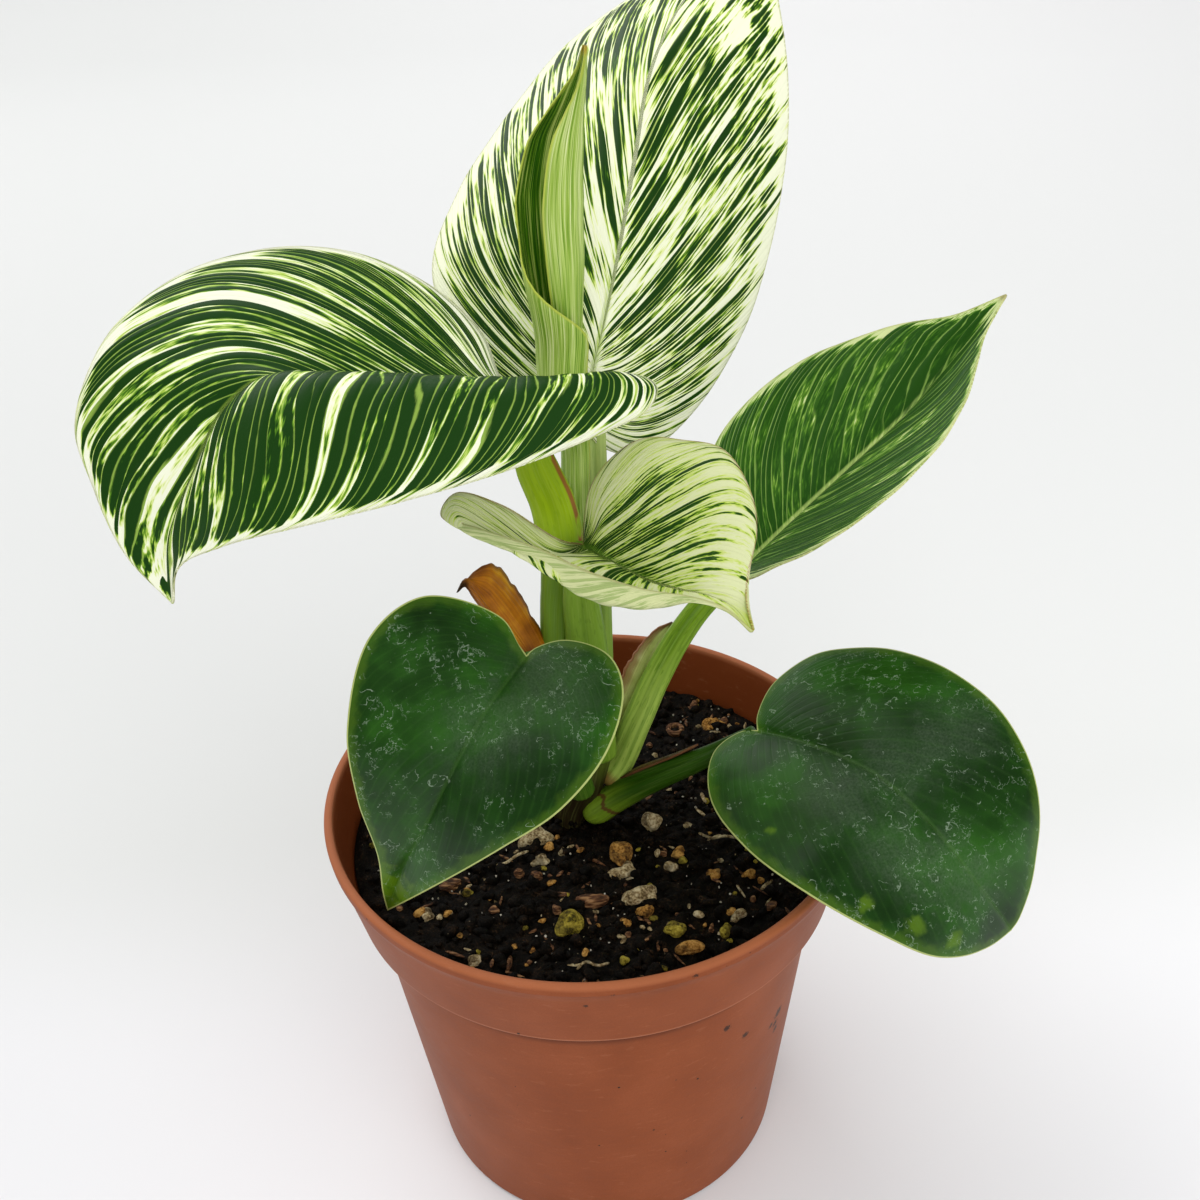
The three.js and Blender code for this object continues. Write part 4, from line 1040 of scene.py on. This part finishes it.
def add_stalk(key, slot, paint, groove=0.35, rounding=0.03):
    """One petiole or the stem: a tapering stalk with fine ribs and a groove down its front.

    `groove` is the groove's depth as a share of the stalk's, and `rounding` the share of its length
    over which its foot is rounded.
    """
    stalk = STALKS[key]
    node = "stem" if key == "stem" else key + "_leaf_petiole"
    line = Line(stalk["path"])
    t = np.linspace(0, 1, STALK_STEPS + 1)[:, None]
    along = line.tangent(t[:, 0])
    side = unit(np.cross(np.array(stalk["facing"], float), along))
    out = unit(np.cross(along, side))
    turn = np.linspace(0, 1, STALK_SIDES + 1)[None, :]
    angle = turn * 2 * math.pi
    ribs = 0.05 * np.sin(angle * 17 + 3 * np.sin(t * 5)) + 0.03 * np.sin(angle * 29)
    wide = spread(stalk["widths"], t) / 2 + ribs
    deep = spread(stalk["depths"], t) / 2 + ribs
    deep = deep * (1 - groove * np.exp(-((turn - 0.25) / 0.05) ** 2) * smooth(t, 0.1, 0.5))
    foot = np.sqrt(np.clip(1 - (1 - np.clip(t / rounding, 0, 1)) ** 2, 0.02, 1))
    points = (line.at(t[:, 0])[:, None] + side[:, None] * (np.cos(angle) * wide * foot)[..., None]
              + out[:, None] * (np.sin(angle) * deep * foot)[..., None])
    points[:, -1] = points[:, 0]
    centre = np.broadcast_to(points[:, :-1].mean(axis=1, keepdims=True), points.shape)
    maps = {"skin": (turn, t * line.length)}
    shape = Shape()
    shape.grid(points, maps)
    for end in (0, -1):
        shape.rim([points, centre], maps, end, axis=0)
    shape.piece(node, slot, [node], paint)


def add_stalks():
    deep = rgb(70, 110, 16)
    add_stalk("stem", "stem", groove=0, paint=stalk_skin(
        "stem", rgb(40, 30, 16), rgb(92, 110, 34), rgb(44, 40, 16), 2.0, (24, 38)))
    add_stalk("middle", "petiole", groove=0.2, paint=stalk_skin(
        "middle_petiole", rgb(118, 154, 44), rgb(128, 162, 48), deep, 12.0))
    add_stalk("left", "lime_petiole", groove=0.2, paint=stalk_skin(
        "left_petiole", rgb(112, 148, 44), rgb(156, 186, 16), rgb(116, 150, 6), 22.0, (46, 66), 0.35,
        blush=(0.43, 0.045)))
    add_stalk("upper", "petiole", paint=stalk_skin(
        "upper_petiole", rgb(132, 164, 62), rgb(176, 194, 112), rgb(110, 146, 60), 32.0, (30, 60)))
    add_stalk("right", "petiole", groove=0.4, paint=stalk_skin(
        "right_petiole", rgb(158, 184, 80), rgb(118, 156, 26), rgb(72, 114, 8), 42.0, (16, 46), 0.5,
        ring=4.5))
    add_stalk("front_left", "petiole", paint=stalk_skin(
        "front_left_petiole", rgb(76, 116, 30), rgb(66, 106, 26), rgb(40, 80, 14), 52.0))
    add_stalk("front_right", "dark_petiole", groove=0.3, rounding=0.1, paint=stalk_skin(
        "front_right_petiole", rgb(116, 146, 34), rgb(38, 74, 4), rgb(28, 56, 2), 62.0, (1, 19), 0.2,
        scar=7.5))


# ---------------------------------------------------------------- the rolled leaf

ROLL_STEPS = 220
ROLL_TURN_STEPS = 120
ROLL_BLADE = 0.6
ROLL_EDGE = 0.3
ROLL_OUTSIDE = [(0.37, rgb(220, 230, 166)), (0.46, rgb(178, 202, 104)), (0.53, rgb(142, 174, 62)),
                (0.62, rgb(84, 132, 24))]
ROLL_INSIDE = [(0.41, rgb(200, 216, 116)), (0.46, rgb(144, 184, 56)), (0.51, rgb(74, 128, 18)),
               (0.58, rgb(36, 88, 6))]
ROLL_BROWN_TIP = (256.8, 258.4)  # the heights where the browning starts and where it is full


def add_rolled_leaf():
    """The new leaf: a sheet wound inwards round its axis, with its outer edge winding down."""
    axis = Line([ring[:3] for ring in ROLL_RINGS])
    t = np.linspace(0, 1, ROLL_STEPS + 1)
    place = axis.place(t)
    centre = axis.at(t)[:, None]
    radius = spread([ring[3] for ring in ROLL_RINGS], place)[:, None]
    outer = np.radians(eased(ROLL_OUTER_MARGIN, t))[:, None]
    inner = np.radians(eased(ROLL_INNER_MARGIN, t))[:, None]
    turn = np.linspace(0, 1, ROLL_TURN_STEPS + 1)[None, :]
    angle = outer + (inner - outer) * turn
    reach = radius * (1 - ROLL_INWARD_PER_TURN * (outer - angle) / (2 * math.pi))
    points = centre + np.stack([np.cos(angle) * reach, np.sin(angle) * reach, 0 * reach], -1)
    normals = grid_normals(points)
    span = (outer - inner) * radius
    edge = np.minimum(turn, 1 - turn) * span
    height = points[..., 2]
    half = (ROLL_EDGE + (ROLL_BLADE - ROLL_EDGE) * smooth(edge, 0, 2)) / 2
    fold = 0.05 * np.sin(angle * 19 + 0.02 * height)
    maps = {"roll": (angle / 2 + 0.02 * np.sin(height / 9), height), "reach": (edge, height)}
    layers = [points + normals * (side * half + fold)[..., None] for side in (1, -1)]
    shape = Shape()
    shape.sheet(layers, maps, skins=(1, 0))
    for end in (0, -1):
        shape.rim(layers, maps, end, axis=0)
    shape.piece("rolled_leaf", "new_leaf", ["rolled_leaf"],
                new_leaf_skin("new_leaf_outside", ROLL_OUTSIDE),
                new_leaf_skin("new_leaf_inside", ROLL_INSIDE))


# ---------------------------------------------------------------- papery sheaths

SHEATH_ROWS = 90
SHEATH_COLUMNS = 14
SHEATH_BLADE = 0.4


def add_sheath(key, node, slot, seed, paint):
    """A dry papery strip with torn, crinkled edges."""
    points, t, across, *_ = blade_net(SHEATHS[key], SHEATH_ROWS, SHEATH_COLUMNS)
    normals = grid_normals(points)
    draw = np.random.default_rng(seed)
    fade = smooth(t, 0, 0.1) * smooth(t, 1, 0.9)
    tears = sum(draw.uniform(0.3, 1) * np.sin(t * turns + draw.uniform(0, 6) + np.sign(across))
                for turns in (23, 41, 77, 130)) / 4
    centre = points[:, [SHEATH_COLUMNS]]
    points = centre + (points - centre) * (1 + 0.16 * tears * across**4 * fade)[..., None]
    crinkle = sum(draw.uniform(0.3, 1) * np.cos(across * turns + t * 9 + draw.uniform(0, 6))
                  for turns in (5, 9, 16)) / 3
    points = points + normals * (0.35 * crinkle * fade)[..., None]
    edge = np.minimum(distance_to(points, points[:, 0]), distance_to(points, points[:, -1]))
    half = normals * SHEATH_BLADE / 2
    shape = Shape()
    shape.sheet([points + half, points - half], {"veins": (t, across), "reach": (edge, 0)})
    shape.piece(node, slot, [node], paint)


def add_sheaths():
    add_sheath("dried", "dried_sheath", "dry_sheath", 11, papery_skin(
        "dry_sheath", [(0.36, rgb(146, 78, 2)), (0.5, rgb(196, 116, 2)), (0.64, rgb(234, 168, 30))], 3.0,
        rgb(104, 54, 12), tip=0.9))
    add_sheath("right", "right_leaf_sheath", "papery_sheath", 12, papery_skin(
        "right_sheath", [(0.36, rgb(184, 196, 104)), (0.5, rgb(206, 214, 132)), (0.64, rgb(228, 230, 172))],
        6.0, rgb(132, 72, 48), tip=0.95, stained=(-0.2, -0.6)))
    add_sheath("front_right", "front_right_leaf_sheath", "papery_sheath", 13, papery_skin(
        "front_right_sheath", [(0.36, rgb(66, 56, 22)), (0.5, rgb(92, 76, 34)), (0.64, rgb(120, 100, 56))],
        9.0, rgb(104, 58, 36)))


# ---------------------------------------------------------------- the pot

POT_SIDES = 288
HOLE_SIDES = 40
HOLE_CUT = 3  # how far the hole's cutter reaches above and below the pot's underside
RIM_ROUNDING = 0.9  # radius of the rim's outer edge and of the band's lower one
LIP_ROUNDING = 0.5  # radius of the rim's inner edge
SHARP_ANGLE = 40  # faces that meet at more than this, in degrees, keep a sharp edge


def pot_inner_radius(height):
    """Inner radius of the pot's wall at a height."""
    if height <= BAND_FOOT:
        return FOOT_RADIUS + (BODY_TOP_RADIUS - FOOT_RADIUS) * height / BAND_FOOT - POT_WALL
    low, high = BAND_FOOT_RADIUS - POT_WALL, RIM_RADIUS - RIM_LIP
    return low + (high - low) * (height - BAND_INSIDE) / (POT_HEIGHT - BAND_INSIDE)


def arc(centre, radius, start, end, steps=6):
    """Points of an arc in a profile, between two angles in degrees."""
    angles = np.radians(np.linspace(start, end, steps))
    return [(centre[0] + radius * math.cos(a), centre[1] + radius * math.sin(a)) for a in angles]


def between(start, end, steps):
    """Evenly spaced points of a profile from start up to, and without, end."""
    return [tuple(np.add(start, np.subtract(end, start) * step / steps)) for step in range(steps)]


def turned(profile, sides):
    """A grid of points: a profile of (radius, height) turned about +Z."""
    profile = np.array(profile, float)
    angle = np.linspace(0, 2 * math.pi, sides + 1)
    angle[-1] = 0
    spokes = np.stack([np.cos(angle), np.sin(angle), 0 * angle], -1)
    points = profile[:, None, [0]] * spokes[None]
    points[..., 2] = profile[:, [1]]
    return points


def cut(mesh, tools):
    """Cuts each of the tools, which are objects, out of a mesh and removes them."""
    body = bpy.data.objects.new("cut", mesh)
    bpy.context.scene.collection.objects.link(body)
    for tool in tools:
        modifier = body.modifiers.new("cut", "BOOLEAN")
        modifier.operation = "DIFFERENCE"
        modifier.solver = "EXACT"
        modifier.object = tool
    result = bpy.data.meshes.new_from_object(body.evaluated_get(bpy.context.evaluated_depsgraph_get()))
    for item in [body, *tools]:
        bpy.data.objects.remove(item)
    return result


def prism(corners, low, high, angle):
    """An upright prism to cut with: its corners (x, y) are turned by `angle` degrees about +Z."""
    sides = len(corners)
    points = [Vector((x, y, z)) * MM for z in (low, high) for x, y in corners]
    faces = [list(range(sides))[::-1], list(range(sides, 2 * sides))]
    for side in range(sides):
        beside = (side + 1) % sides
        faces.append([side, beside, sides + beside, sides + side])
    mesh = bpy.data.meshes.new("prism")
    mesh.from_pydata(points, [], faces)
    mesh.transform(Matrix.Rotation(math.radians(angle), 4, "Z"))
    item = bpy.data.objects.new("prism", mesh)
    bpy.context.scene.collection.objects.link(item)
    return item


def drain_cutters():
    """The round holes and the notches in the pot's foot."""
    turns = [2 * math.pi * side / HOLE_SIDES for side in range(HOLE_SIDES)]
    hole = [(DRAIN_CIRCLE_RADIUS + DRAIN_HOLE_RADIUS * math.cos(turn), DRAIN_HOLE_RADIUS * math.sin(turn))
            for turn in turns]
    notch = [(FOOT_RADIUS + x * NOTCH_LENGTH / 2, y * NOTCH_WIDTH / 2)
             for x, y in ((-1, -1), (1, -1), (1, 1), (-1, 1))]
    cutters = []
    for number in range(DRAIN_HOLES):
        angle = FIRST_DRAIN_ANGLE + 360 * number / DRAIN_HOLES
        cutters.append(prism(hole, -HOLE_CUT, HOLE_CUT, angle))
        cutters.append(prism(notch, -NOTCH_HEIGHT / 2, NOTCH_HEIGHT / 2, angle))
    return cutters


def pot_profile():
    """The pot's section as (radius, height): out along its foot, up its outside and down its inside."""
    profile = [(0, 0), *between((10, 0), (FOOT_RADIUS - FOOT_ROUNDING, 0), 4)]
    profile += arc((FOOT_RADIUS - FOOT_ROUNDING, FOOT_ROUNDING), FOOT_ROUNDING, -90, 0)
    profile += between((FOOT_RADIUS + 0.2, 3), (BODY_TOP_RADIUS, BAND_FOOT - 0.5), 26)
    profile += [(BODY_TOP_RADIUS, BAND_FOOT - 0.5), (BODY_TOP_RADIUS + 0.5, BAND_FOOT - 0.1)]
    profile += between((BODY_TOP_RADIUS + 1.2, BAND_FOOT), (BAND_FOOT_RADIUS - 1.2, BAND_FOOT + 0.2), 3)
    profile += arc((BAND_FOOT_RADIUS - RIM_ROUNDING, BAND_FOOT + 1.3), RIM_ROUNDING, -80, 0, 5)
    profile += between((BAND_FOOT_RADIUS + 0.2, BAND_FOOT + 2.2), (RIM_RADIUS - 0.9, POT_HEIGHT - 3.4), 8)
    profile += [(RIM_RADIUS - 0.7, POT_HEIGHT - 2.9), (RIM_RADIUS - 0.2, POT_HEIGHT - 2.5)]
    profile += arc((RIM_RADIUS - RIM_ROUNDING, POT_HEIGHT - RIM_ROUNDING), RIM_ROUNDING, 0, 90, 6)
    profile += arc((RIM_RADIUS - RIM_LIP + LIP_ROUNDING, POT_HEIGHT - LIP_ROUNDING), LIP_ROUNDING, 90, 180, 4)
    heights = (POT_HEIGHT - 1, BAND_INSIDE, BAND_FOOT, POT_WALL)
    inside = [(pot_inner_radius(height), height) for height in heights]
    for start, end, steps in zip(inside, inside[1:], (6, 2, 8)):
        profile += between(start, end, steps)
    return [*profile, inside[-1], (10, POT_WALL), (0, POT_WALL)]


def add_pot():
    """The pot: one thin moulded wall with a rounded rim, a band under it and a drained foot."""
    shape = Shape()
    shape.grid(turned(pot_profile(), POT_SIDES))
    mesh = cut(shape.mesh("pot"), drain_cutters())
    closed = bmesh.new()
    closed.from_mesh(mesh)
    bmesh.ops.holes_fill(closed, edges=closed.edges, sides=4)
    closed.to_mesh(mesh)
    closed.free()
    mesh.shade_smooth()
    mesh.set_sharp_from_angle(angle=math.radians(SHARP_ANGLE))
    add_piece("pot", mesh, "pot_plastic", ["pot"], pot_plastic())


# ---------------------------------------------------------------- the soil

SOIL_RINGS = 110
SOIL_SECTORS = 300
STEM_FOOT = STALKS["stem"]["path"][1][:2]
# What lies on the peat: (x, y) of its middle, its turn in degrees, its length, width and height, its kind.
PEBBLES = [
    (14, -1, 20, (4.8, 4.2, 3.6), "pale"), (6, -11, 78, (7.9, 4.6, 4.2), "ochre"),
    (6.5, -16, 10, (5.8, 4.4, 2.6), "pale"), (10, -24, 5, (7.6, 4.4, 3.6), "pale"),
    (10.5, -28.5, 0, (3.4, 2.4, 2.4), "ochre"), (-6, -32, 0, (6, 6, 4.8), "olive"),
    (-1, -24, 8, (8.7, 3.4, 2.2), "bark"), (16, -35, 30, (4.7, 4, 3.2), "olive"),
    (19, -41, 10, (5.2, 3.2, 3), "ochre"), (19, -11, 40, (3.4, 2.8, 2.6), "ochre"),
    (17, -16, 0, (3.2, 2.6, 2.4), "pale"), (26, -20, 60, (3.2, 2.6, 2.4), "ochre"),
    (30, -32, 20, (3.4, 2.6, 2.4), "pale"), (34, -20, 0, (3, 2.4, 2.2), "ochre"),
    (27, -36, 80, (3.2, 2.6, 2.4), "olive"), (-13, -4, 15, (6.9, 5.7, 4), "pale"),
    (-12, -11, 0, (3.6, 3, 2.8), "pale"), (-32, -17, 20, (6.6, 2.8, 1.8), "bark"),
    (-37, -26, 0, (3, 2.8, 2.4), "pale"), (-26, -40, 40, (3.2, 2.8, 2.4), "pale"),
    (-19, -41, 80, (4.2, 1.8, 1.6), "bark"), (31, 33, 10, (5.5, 3, 2.8), "ochre"),
]
GRAIN_KINDS = ["pale", "ochre", "olive", "bark", "white"]
BARK_RING = (22, 32)  # the place of a ring of bark
BARK_RING_RADIUS = 1.7
ROOT_RADIUS = 0.32
ROOTS = [
    [(-23, -13), (-20, -12.4), (-17, -10.2), (-14.5, -8.8)],
    [(-5, -45), (-3, -43.4), (-0.5, -44.4), (2, -43.6)],
    [(24, -6), (27, -8), (30, -7.4), (33, -9)],
]
CRUMBS = 1500
STRAY_GRAINS = 260
CHIPS = 160
WHITE_SPECKS = 200


def soil_height(x, y):
    """Height of the soil's uneven top, as in the part's source."""
    broad = np.sin(x * 0.13 + 1.1) * np.cos(y * 0.11 - 0.6)
    fine = np.sin(x * 0.43 - y * 0.29) * np.cos(y * 0.37 + x * 0.17)
    return SOIL_LEVEL + SOIL_ROUGHNESS * (0.6 * broad + 0.4 * fine)


def soil_crumbs(x, y):
    """Finer unevenness of the peat, in millimetres."""
    first = np.sin(x * 1.31 + 2 * np.sin(y * 0.83)) * np.sin(y * 1.17 + 2 * np.sin(x * 0.71))
    second = np.sin(x * 2.9 + 1.7 * np.sin(y * 2.1)) * np.sin(y * 3.1 + 1.9 * np.sin(x * 1.9))
    third = np.sin(x * 6.1 + 2 * np.sin(y * 4.3)) * np.sin(y * 5.7 + 2 * np.sin(x * 5.1))
    return 0.45 * first + 0.28 * second + 0.12 * third


def add_soil(paint):
    """The peat that fills the pot, up to its uneven top."""
    edge_height = SOIL_LEVEL - SOIL_ROUGHNESS
    top_radius = pot_inner_radius(edge_height) - GAP
    floor = POT_WALL + GAP
    profile = [(0, floor), (pot_inner_radius(floor) - GAP, floor),
               (pot_inner_radius(BAND_FOOT) - GAP, BAND_FOOT),
               (pot_inner_radius(BAND_INSIDE) - GAP, BAND_INSIDE), (top_radius, edge_height)]
    shape = Shape()
    shape.grid(turned(profile, SOIL_SECTORS))
    rings = np.linspace(1, 0, SOIL_RINGS + 1)
    top = turned([(top_radius * ring, SOIL_LEVEL) for ring in rings], SOIL_SECTORS)
    x, y = top[..., 0], top[..., 1]
    inside = smooth(rings, 1, 0.97)[:, None]
    top[..., 2] = edge_height + (soil_height(x, y) + soil_crumbs(x, y) - edge_height) * inside
    shape.grid(top)
    shape.piece("soil", "peat", ["soil"], paint)


def ball(subdivisions):
    """The points and faces of a ball 1 across."""
    mesh = bmesh.new()
    bmesh.ops.create_icosphere(mesh, subdivisions=subdivisions, radius=0.5)
    points = np.array([vertex.co for vertex in mesh.verts])
    faces = np.array([[vertex.index for vertex in face.verts] for face in mesh.faces])
    mesh.free()
    return points, faces


def lump(draw, ball_points, size, turn, roughness=0.16):
    """A ball's points made uneven, stretched to `size` in millimetres and turned by `turn` degrees."""
    push = sum(np.sin(ball_points @ (unit(draw.normal(size=3)) * draw.uniform(4, 11)) + draw.uniform(0, 6))
               for _ in range(5))
    points = ball_points * (1 + roughness * push[:, None] / 2) * size
    tilt = Matrix.Rotation(math.radians(turn), 3, "Z") @ Matrix.Rotation(draw.normal() * 0.25, 3, "X")
    return points @ np.array(tilt).T


def on_soil(draw, inner, outer):
    """A random place on the peat, between two distances from its middle."""
    distance = math.sqrt(draw.uniform(inner**2, outer**2))
    angle = draw.uniform(0, 2 * math.pi)
    return distance * math.cos(angle), distance * math.sin(angle)


def lay(points, x, y, sunk):
    """A lump's points moved onto the soil at (x, y), with `sunk` of its height in it."""
    low, high = points[:, 2].min(), points[:, 2].max()
    lift = soil_height(x, y) + soil_crumbs(x, y) - low - (high - low) * sunk
    return points + (x, y, lift)


def add_crumbs(paint):
    """Crumbs of peat all over the soil, heaped round the stem's foot."""
    draw = np.random.default_rng(41)
    points, faces = ball(2)
    shape = Shape()
    outer = pot_inner_radius(SOIL_LEVEL) - 2.6
    for _ in range(CRUMBS):
        size = 0.9 + 2.6 * draw.uniform() ** 2.2
        x, y = on_soil(draw, 0, outer)
        near_stem = math.hypot(x - STEM_FOOT[0], y - STEM_FOOT[1])
        heap = 2.2 * math.exp(-((near_stem / 7) ** 2))
        size = size * draw.uniform((0.9, 0.7, 0.6), (1.3, 1, 0.9))
        crumb = lump(draw, points, size, draw.uniform(0, 360), 0.24)
        shape.add(lay(crumb, x, y, 0.4) + (0, 0, heap), faces)
    shape.piece("peat_crumbs", "peat", ["soil"], paint)


def tube(path, radius, sides=8, steps=30):
    """A thin round root along a path, as a closed grid of points."""
    line = Line(path)
    t = np.linspace(0, 1, steps + 1)
    along = line.tangent(t)
    side = unit(np.cross(along, (0, 0, 1.0)))
    out = np.cross(along, side)
    angle = np.linspace(0, 2 * math.pi, sides + 1)
    angle[-1] = 0
    size = (radius * np.sqrt(np.clip(1 - (2 * t - 1) ** 8, 0, 1)))[:, None]
    return (line.at(t)[:, None] + side[:, None] * (np.cos(angle) * size)[..., None]
            + out[:, None] * (np.sin(angle) * size)[..., None])


def bark_ring():
    """A ring of bark lying on the peat, as a closed grid of points."""
    turn = np.linspace(0, 2 * math.pi, 33)
    turn[-1] = 0
    across = np.linspace(0, 2 * math.pi, 13)
    across[-1] = 0
    reach = BARK_RING_RADIUS + 0.62 * np.cos(across)[None, :] * (1 + 0.15 * np.sin(3 * turn))[:, None]
    ring = np.stack([reach * np.cos(turn)[:, None], reach * np.sin(turn)[:, None],
                     np.broadcast_to(0.8 * np.sin(across), reach.shape)], -1)
    return lay(ring.reshape(-1, 3), *BARK_RING, 0.2).reshape(ring.shape)


def scatter_grains(shape):
    """The pebbles at their places, then small grains, chips and white specks at random ones."""
    draw = np.random.default_rng(43)
    points, faces = ball(4)
    for x, y, turn, size, kind in PEBBLES:
        pebble = lump(draw, points, np.array(size), turn, 0.22)
        shape.add(lay(pebble, x, y, 0.3), faces, GRAIN_KINDS.index(kind))
    points, faces = ball(3)
    outer = pot_inner_radius(SOIL_LEVEL) - 3
    for _ in range(STRAY_GRAINS):
        x, y = on_soil(draw, 8, outer)
        size = (1.0 + 1.7 * draw.uniform() ** 2.5) * draw.uniform((0.9, 0.7, 0.6), (1.3, 1, 0.9))
        grain = lump(draw, points, size, draw.uniform(0, 360))
        shape.add(lay(grain, x, y, 0.3), faces, int(draw.integers(0, 4)))
    points, faces = ball(2)
    for _ in range(CHIPS):
        x, y = on_soil(draw, 8, outer)
        size = draw.uniform((1.6, 0.4, 0.3), (5, 1.1, 0.7))
        chip = lump(draw, points, size, draw.uniform(0, 360))
        kind = "bark" if draw.uniform() < 0.75 else "pale"
        shape.add(lay(chip, x, y, 0.1), faces, GRAIN_KINDS.index(kind))
    points, faces = ball(1)
    for _ in range(WHITE_SPECKS):
        x, y = on_soil(draw, 8, outer)
        speck = lump(draw, points, draw.uniform(0.25, 0.7, 3), 0)
        shape.add(lay(speck, x, y, -0.6), faces, GRAIN_KINDS.index("white"))


def add_grains():
    """Pumice, bark, a ring of bark, roots and white specks on the peat."""
    paints = [grain_stone("pumice_pale", rgb(206, 190, 152), rgb(160, 138, 98), rgb(92, 74, 48)),
              grain_stone("pumice_ochre", rgb(204, 156, 84), rgb(160, 112, 50), rgb(84, 54, 24)),
              grain_stone("pumice_olive", rgb(178, 160, 64), rgb(140, 124, 40), rgb(66, 60, 22)),
              bark(),
              grain_stone("perlite", rgb(226, 222, 208), rgb(196, 188, 168), rgb(140, 130, 108))]
    shape = Shape()
    scatter_grains(shape)
    shape.grid(bark_ring(), skin=GRAIN_KINDS.index("bark"), flip=True)
    for path in ROOTS:
        raised = [(x, y, soil_height(x, y) + 1.1) for x, y in path]
        shape.grid(tube(raised, ROOT_RADIUS), skin=GRAIN_KINDS.index("pale"))
    shape.piece("pumice_and_bark", "peat", ["soil"], *paints)


# ---------------------------------------------------------------- stage, light and camera

CAMERA_PLACE = (0, -261.6, 325)
CAMERA_AIM = (4.4, 0, 150.2)
CAMERA_ROLL = -2.82
LENS = 45.33
SENSOR = 36
# The floor and backdrop, in metres.
FLOOR_FRONT = -1.2
FLOOR_DEPTH = 1.1  # from the plant back to where the floor curves up
BACKDROP_BEND = 0.6
BACKDROP_TOP = 1.6
BACKDROP_HALF_WIDTH = 2.2
WORLD_STRENGTH = 0.5
WORLD_IN_GLOSS = 0.12  # its strength as seen in reflections
# Area lights: name, place and aim in metres, size, power, and whether reflections show it.
LIGHTS = [
    ("key", (-0.65, 0.6, 1.15), (0, 0, 0.12), 1.3, 11, True),
    ("fill", (0.35, -1.1, 1.2), (0, 0, 0.1), 1.6, 15, False),
    ("left", (-1.2, -0.1, 0.35), (0, 0, 0.1), 0.7, 1.3, False),
    ("right", (1.2, -0.1, 0.35), (0, 0, 0.1), 0.7, 1.6, False),
]


def add_camera():
    camera = bpy.data.objects.new("camera", bpy.data.cameras.new("camera"))
    bpy.context.scene.collection.objects.link(camera)
    camera.data.lens = LENS
    camera.data.sensor_width = SENSOR
    camera.data.clip_start = 0.01
    camera.location = Vector(CAMERA_PLACE) * MM
    look = (Vector(CAMERA_AIM) - Vector(CAMERA_PLACE)).to_track_quat("-Z", "Y")
    roll = Matrix.Rotation(math.radians(CAMERA_ROLL), 4, "Z")
    camera.rotation_euler = (look.to_matrix().to_4x4() @ roll).to_euler()
    bpy.context.scene.camera = camera


def add_light(name, place, aim, size, power, seen_in_gloss):
    light = bpy.data.objects.new(name, bpy.data.lights.new(name, "AREA"))
    light.data.size = size
    light.data.energy = power
    light.location = place
    light.rotation_euler = (Vector(aim) - Vector(place)).to_track_quat("-Z", "Y").to_euler()
    light.visible_glossy = seen_in_gloss
    bpy.context.scene.collection.objects.link(light)


def backdrop_paint():
    """White paper with painted light and shade: a little darker near the plant and to its left than far away.
    """
    paint = Paint("backdrop")
    x, y, z = paint.parts(paint.place())
    grain = paint.noise(paint.vector(x, y, z), 0.004, 2)
    # painted light and shade: the paper's tone changes with distance from the plant and from left to right
    far = paint.above(y + 30 * (grain - 0.5), 10, 110)
    right = paint.above(x, -420, 420)
    near_colour = paint.mix(right, rgb(222, 222, 224), rgb(249, 249, 251))
    far_colour = paint.mix(right, rgb(217, 218, 217), rgb(233, 234, 233))
    colour = paint.mix(far, near_colour, far_colour)
    distant_colour = paint.mix(right, rgb(232, 233, 232), rgb(254, 254, 254))
    colour = paint.mix(paint.above(y, 300, 1250), colour, distant_colour)
    return paint.finish(colour, 0.9, None, Specular_IOR_Level=0.1)


def add_backdrop():
    """A pale floor that curves up into a backdrop."""
    profile = [(FLOOR_FRONT, 0), (FLOOR_DEPTH, 0)]
    profile += [(FLOOR_DEPTH + BACKDROP_BEND * math.sin(turn), BACKDROP_BEND * (1 - math.cos(turn)))
                for turn in np.linspace(0, math.pi / 2, 24)[1:]]
    profile += [(FLOOR_DEPTH + BACKDROP_BEND, BACKDROP_TOP)]
    points = [(side * BACKDROP_HALF_WIDTH, y, z) for y, z in profile for side in (-1, 1)]
    faces = [[2 * row, 2 * row + 1, 2 * row + 3, 2 * row + 2] for row in range(len(profile) - 1)]
    mesh = bpy.data.meshes.new("backdrop")
    mesh.from_pydata(points, [], faces)
    mesh.shade_smooth()
    mesh.materials.append(backdrop_paint())
    floor = bpy.data.objects.new("backdrop", mesh)
    bpy.context.scene.collection.objects.link(floor)


def add_world():
    """A soft white studio all round, dimmer where it is reflected."""
    world = bpy.data.worlds.new("studio")
    world.use_nodes = True
    tree = world.node_tree
    background = tree.nodes["Background"]
    background.inputs["Color"].default_value = (1, 1, 1, 1)
    path = tree.nodes.new("ShaderNodeLightPath")
    strength = tree.nodes.new("ShaderNodeMapRange")
    strength.inputs["To Min"].default_value = WORLD_STRENGTH
    strength.inputs["To Max"].default_value = WORLD_IN_GLOSS
    tree.links.new(path.outputs["Is Glossy Ray"], strength.inputs["Value"])
    tree.links.new(strength.outputs["Result"], background.inputs["Strength"])
    bpy.context.scene.world = world


def add_stage():
    """The floor and backdrop, the world and large soft lights."""
    add_backdrop()
    add_world()
    for light in LIGHTS:
        add_light(*light)
    bpy.context.scene.view_settings.view_transform = "Standard"
    bpy.context.scene.view_settings.look = "None"


# ---------------------------------------------------------------- assembly

add_camera()
add_leaves()
add_stalks()
add_rolled_leaf()
add_sheaths()
add_pot()
peat_finish = peat()
add_soil(peat_finish)
add_crumbs(peat_finish)
add_grains()
add_stage()
